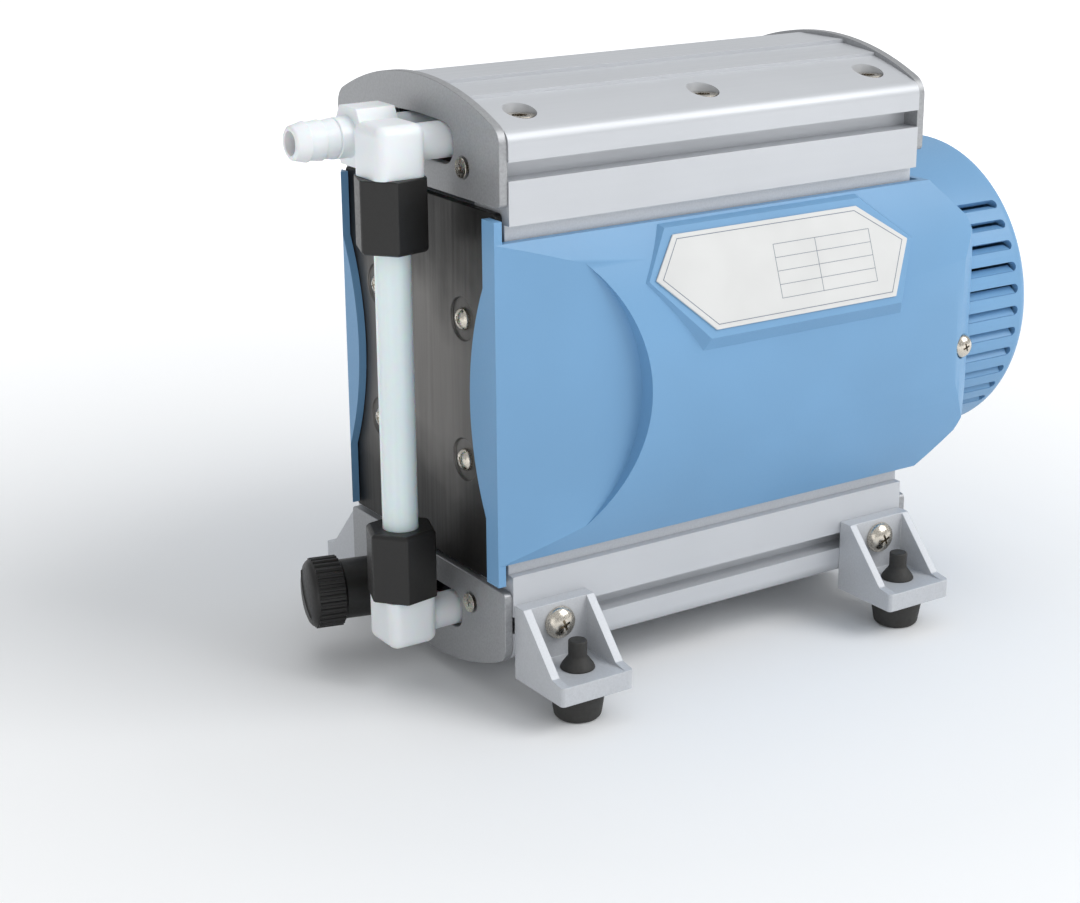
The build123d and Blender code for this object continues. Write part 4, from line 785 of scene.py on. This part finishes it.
# ------------------------------------------------------------------ studio
def pale_floor():
    """Nearly white floor that glows softly away from the pump."""
    glow_start, glow_full = 160 * MM, 700 * MM
    glow_strength = 0.48
    finish, tree, shader = start_finish("studio_floor")
    tone = grain(tree, scale=0.8, detail=2)
    two_toned(tree, shader, tone, dark=(0.895, 0.90, 0.905), light=(0.92, 0.925, 0.93))
    shader.inputs["Roughness"].default_value = 0.75
    shader.inputs["Emission Color"].default_value = (1, 1, 1, 1)
    where = tree.nodes.new("ShaderNodeTexCoord")
    away = tree.nodes.new("ShaderNodeVectorMath")
    away.operation = "LENGTH"
    tree.links.new(where.outputs["Object"], away.inputs[0])
    glow = tree.nodes.new("ShaderNodeMapRange")
    glow.inputs["From Min"].default_value = glow_start
    glow.inputs["From Max"].default_value = glow_full
    glow.inputs["To Max"].default_value = glow_strength
    tree.links.new(away.outputs["Value"], glow.inputs["Value"])
    tree.links.new(glow.outputs["Result"], shader.inputs["Emission Strength"])
    return finish


def lamp(name, place, size, power):
    """Square soft light aimed at the pump's middle."""
    aim = Vector((0, 0, 0.09))
    light = bpy.data.lights.new(name, "AREA")
    light.size = size
    light.energy = power
    holder = bpy.data.objects.new(name, light)
    holder.location = place
    holder.rotation_euler = (aim - Vector(place)).to_track_quat("-Z", "Y").to_euler()
    bpy.context.scene.collection.objects.link(holder)


def studio():
    bpy.ops.mesh.primitive_grid_add(x_subdivisions=8, y_subdivisions=8, size=24)
    floor = bpy.context.object
    floor.name = "studio_floor"
    wear(floor, pale_floor())

    world = bpy.data.worlds.new("studio_sky")
    world.use_nodes = True
    sky = world.node_tree.nodes["Background"]
    sky.inputs["Color"].default_value = (0.96, 0.98, 1.0, 1)
    sky.inputs["Strength"].default_value = 0.58
    bpy.context.scene.world = world

    lamp("key_light", (1.05, -1.20, 1.45), size=1.3, power=24)
    lamp("top_light", (0.15, 0.35, 1.7), size=1.2, power=4)
    lamp("front_fill", (-1.25, -1.10, 0.30), size=1.0, power=2.2)
    bpy.context.scene.view_settings.view_transform = "Standard"


CAMERA_PLACE = (-0.35675, -0.49672, 0.25481)
CAMERA_YAW, CAMERA_PITCH, CAMERA_ROLL = (math.radians(turn) for turn in (33.11, 18.55, -0.40))
CAMERA_LENS = 70.47


def camera():
    """Camera at the front left, looking down; yaw turns it from +Y towards +X."""
    flat = Vector((math.sin(CAMERA_YAW), math.cos(CAMERA_YAW), 0))
    forward = flat * math.cos(CAMERA_PITCH) - Vector((0, 0, math.sin(CAMERA_PITCH)))
    level = Vector((math.cos(CAMERA_YAW), -math.sin(CAMERA_YAW), 0))
    up = level.cross(forward)
    right = level * math.cos(CAMERA_ROLL) + up * math.sin(CAMERA_ROLL)
    top = up * math.cos(CAMERA_ROLL) - level * math.sin(CAMERA_ROLL)
    lens = bpy.data.cameras.new("camera")
    lens.sensor_width = 36
    lens.lens = CAMERA_LENS
    lens.clip_start = 0.01
    holder = bpy.data.objects.new("camera", lens)
    turn = Matrix((right, top, -forward)).transposed()
    holder.matrix_world = Matrix.Translation(CAMERA_PLACE) @ turn.to_4x4()
    bpy.context.scene.collection.objects.link(holder)
    bpy.context.scene.camera = holder


metal_parts()
plastic_parts()
drum_louvres()
ballast_knob()
ruled_plate()
for name, solid in frame["nodes"].items():
    wear(solid, FINISHES[SLOT_OF[name]])
studio()
camera()
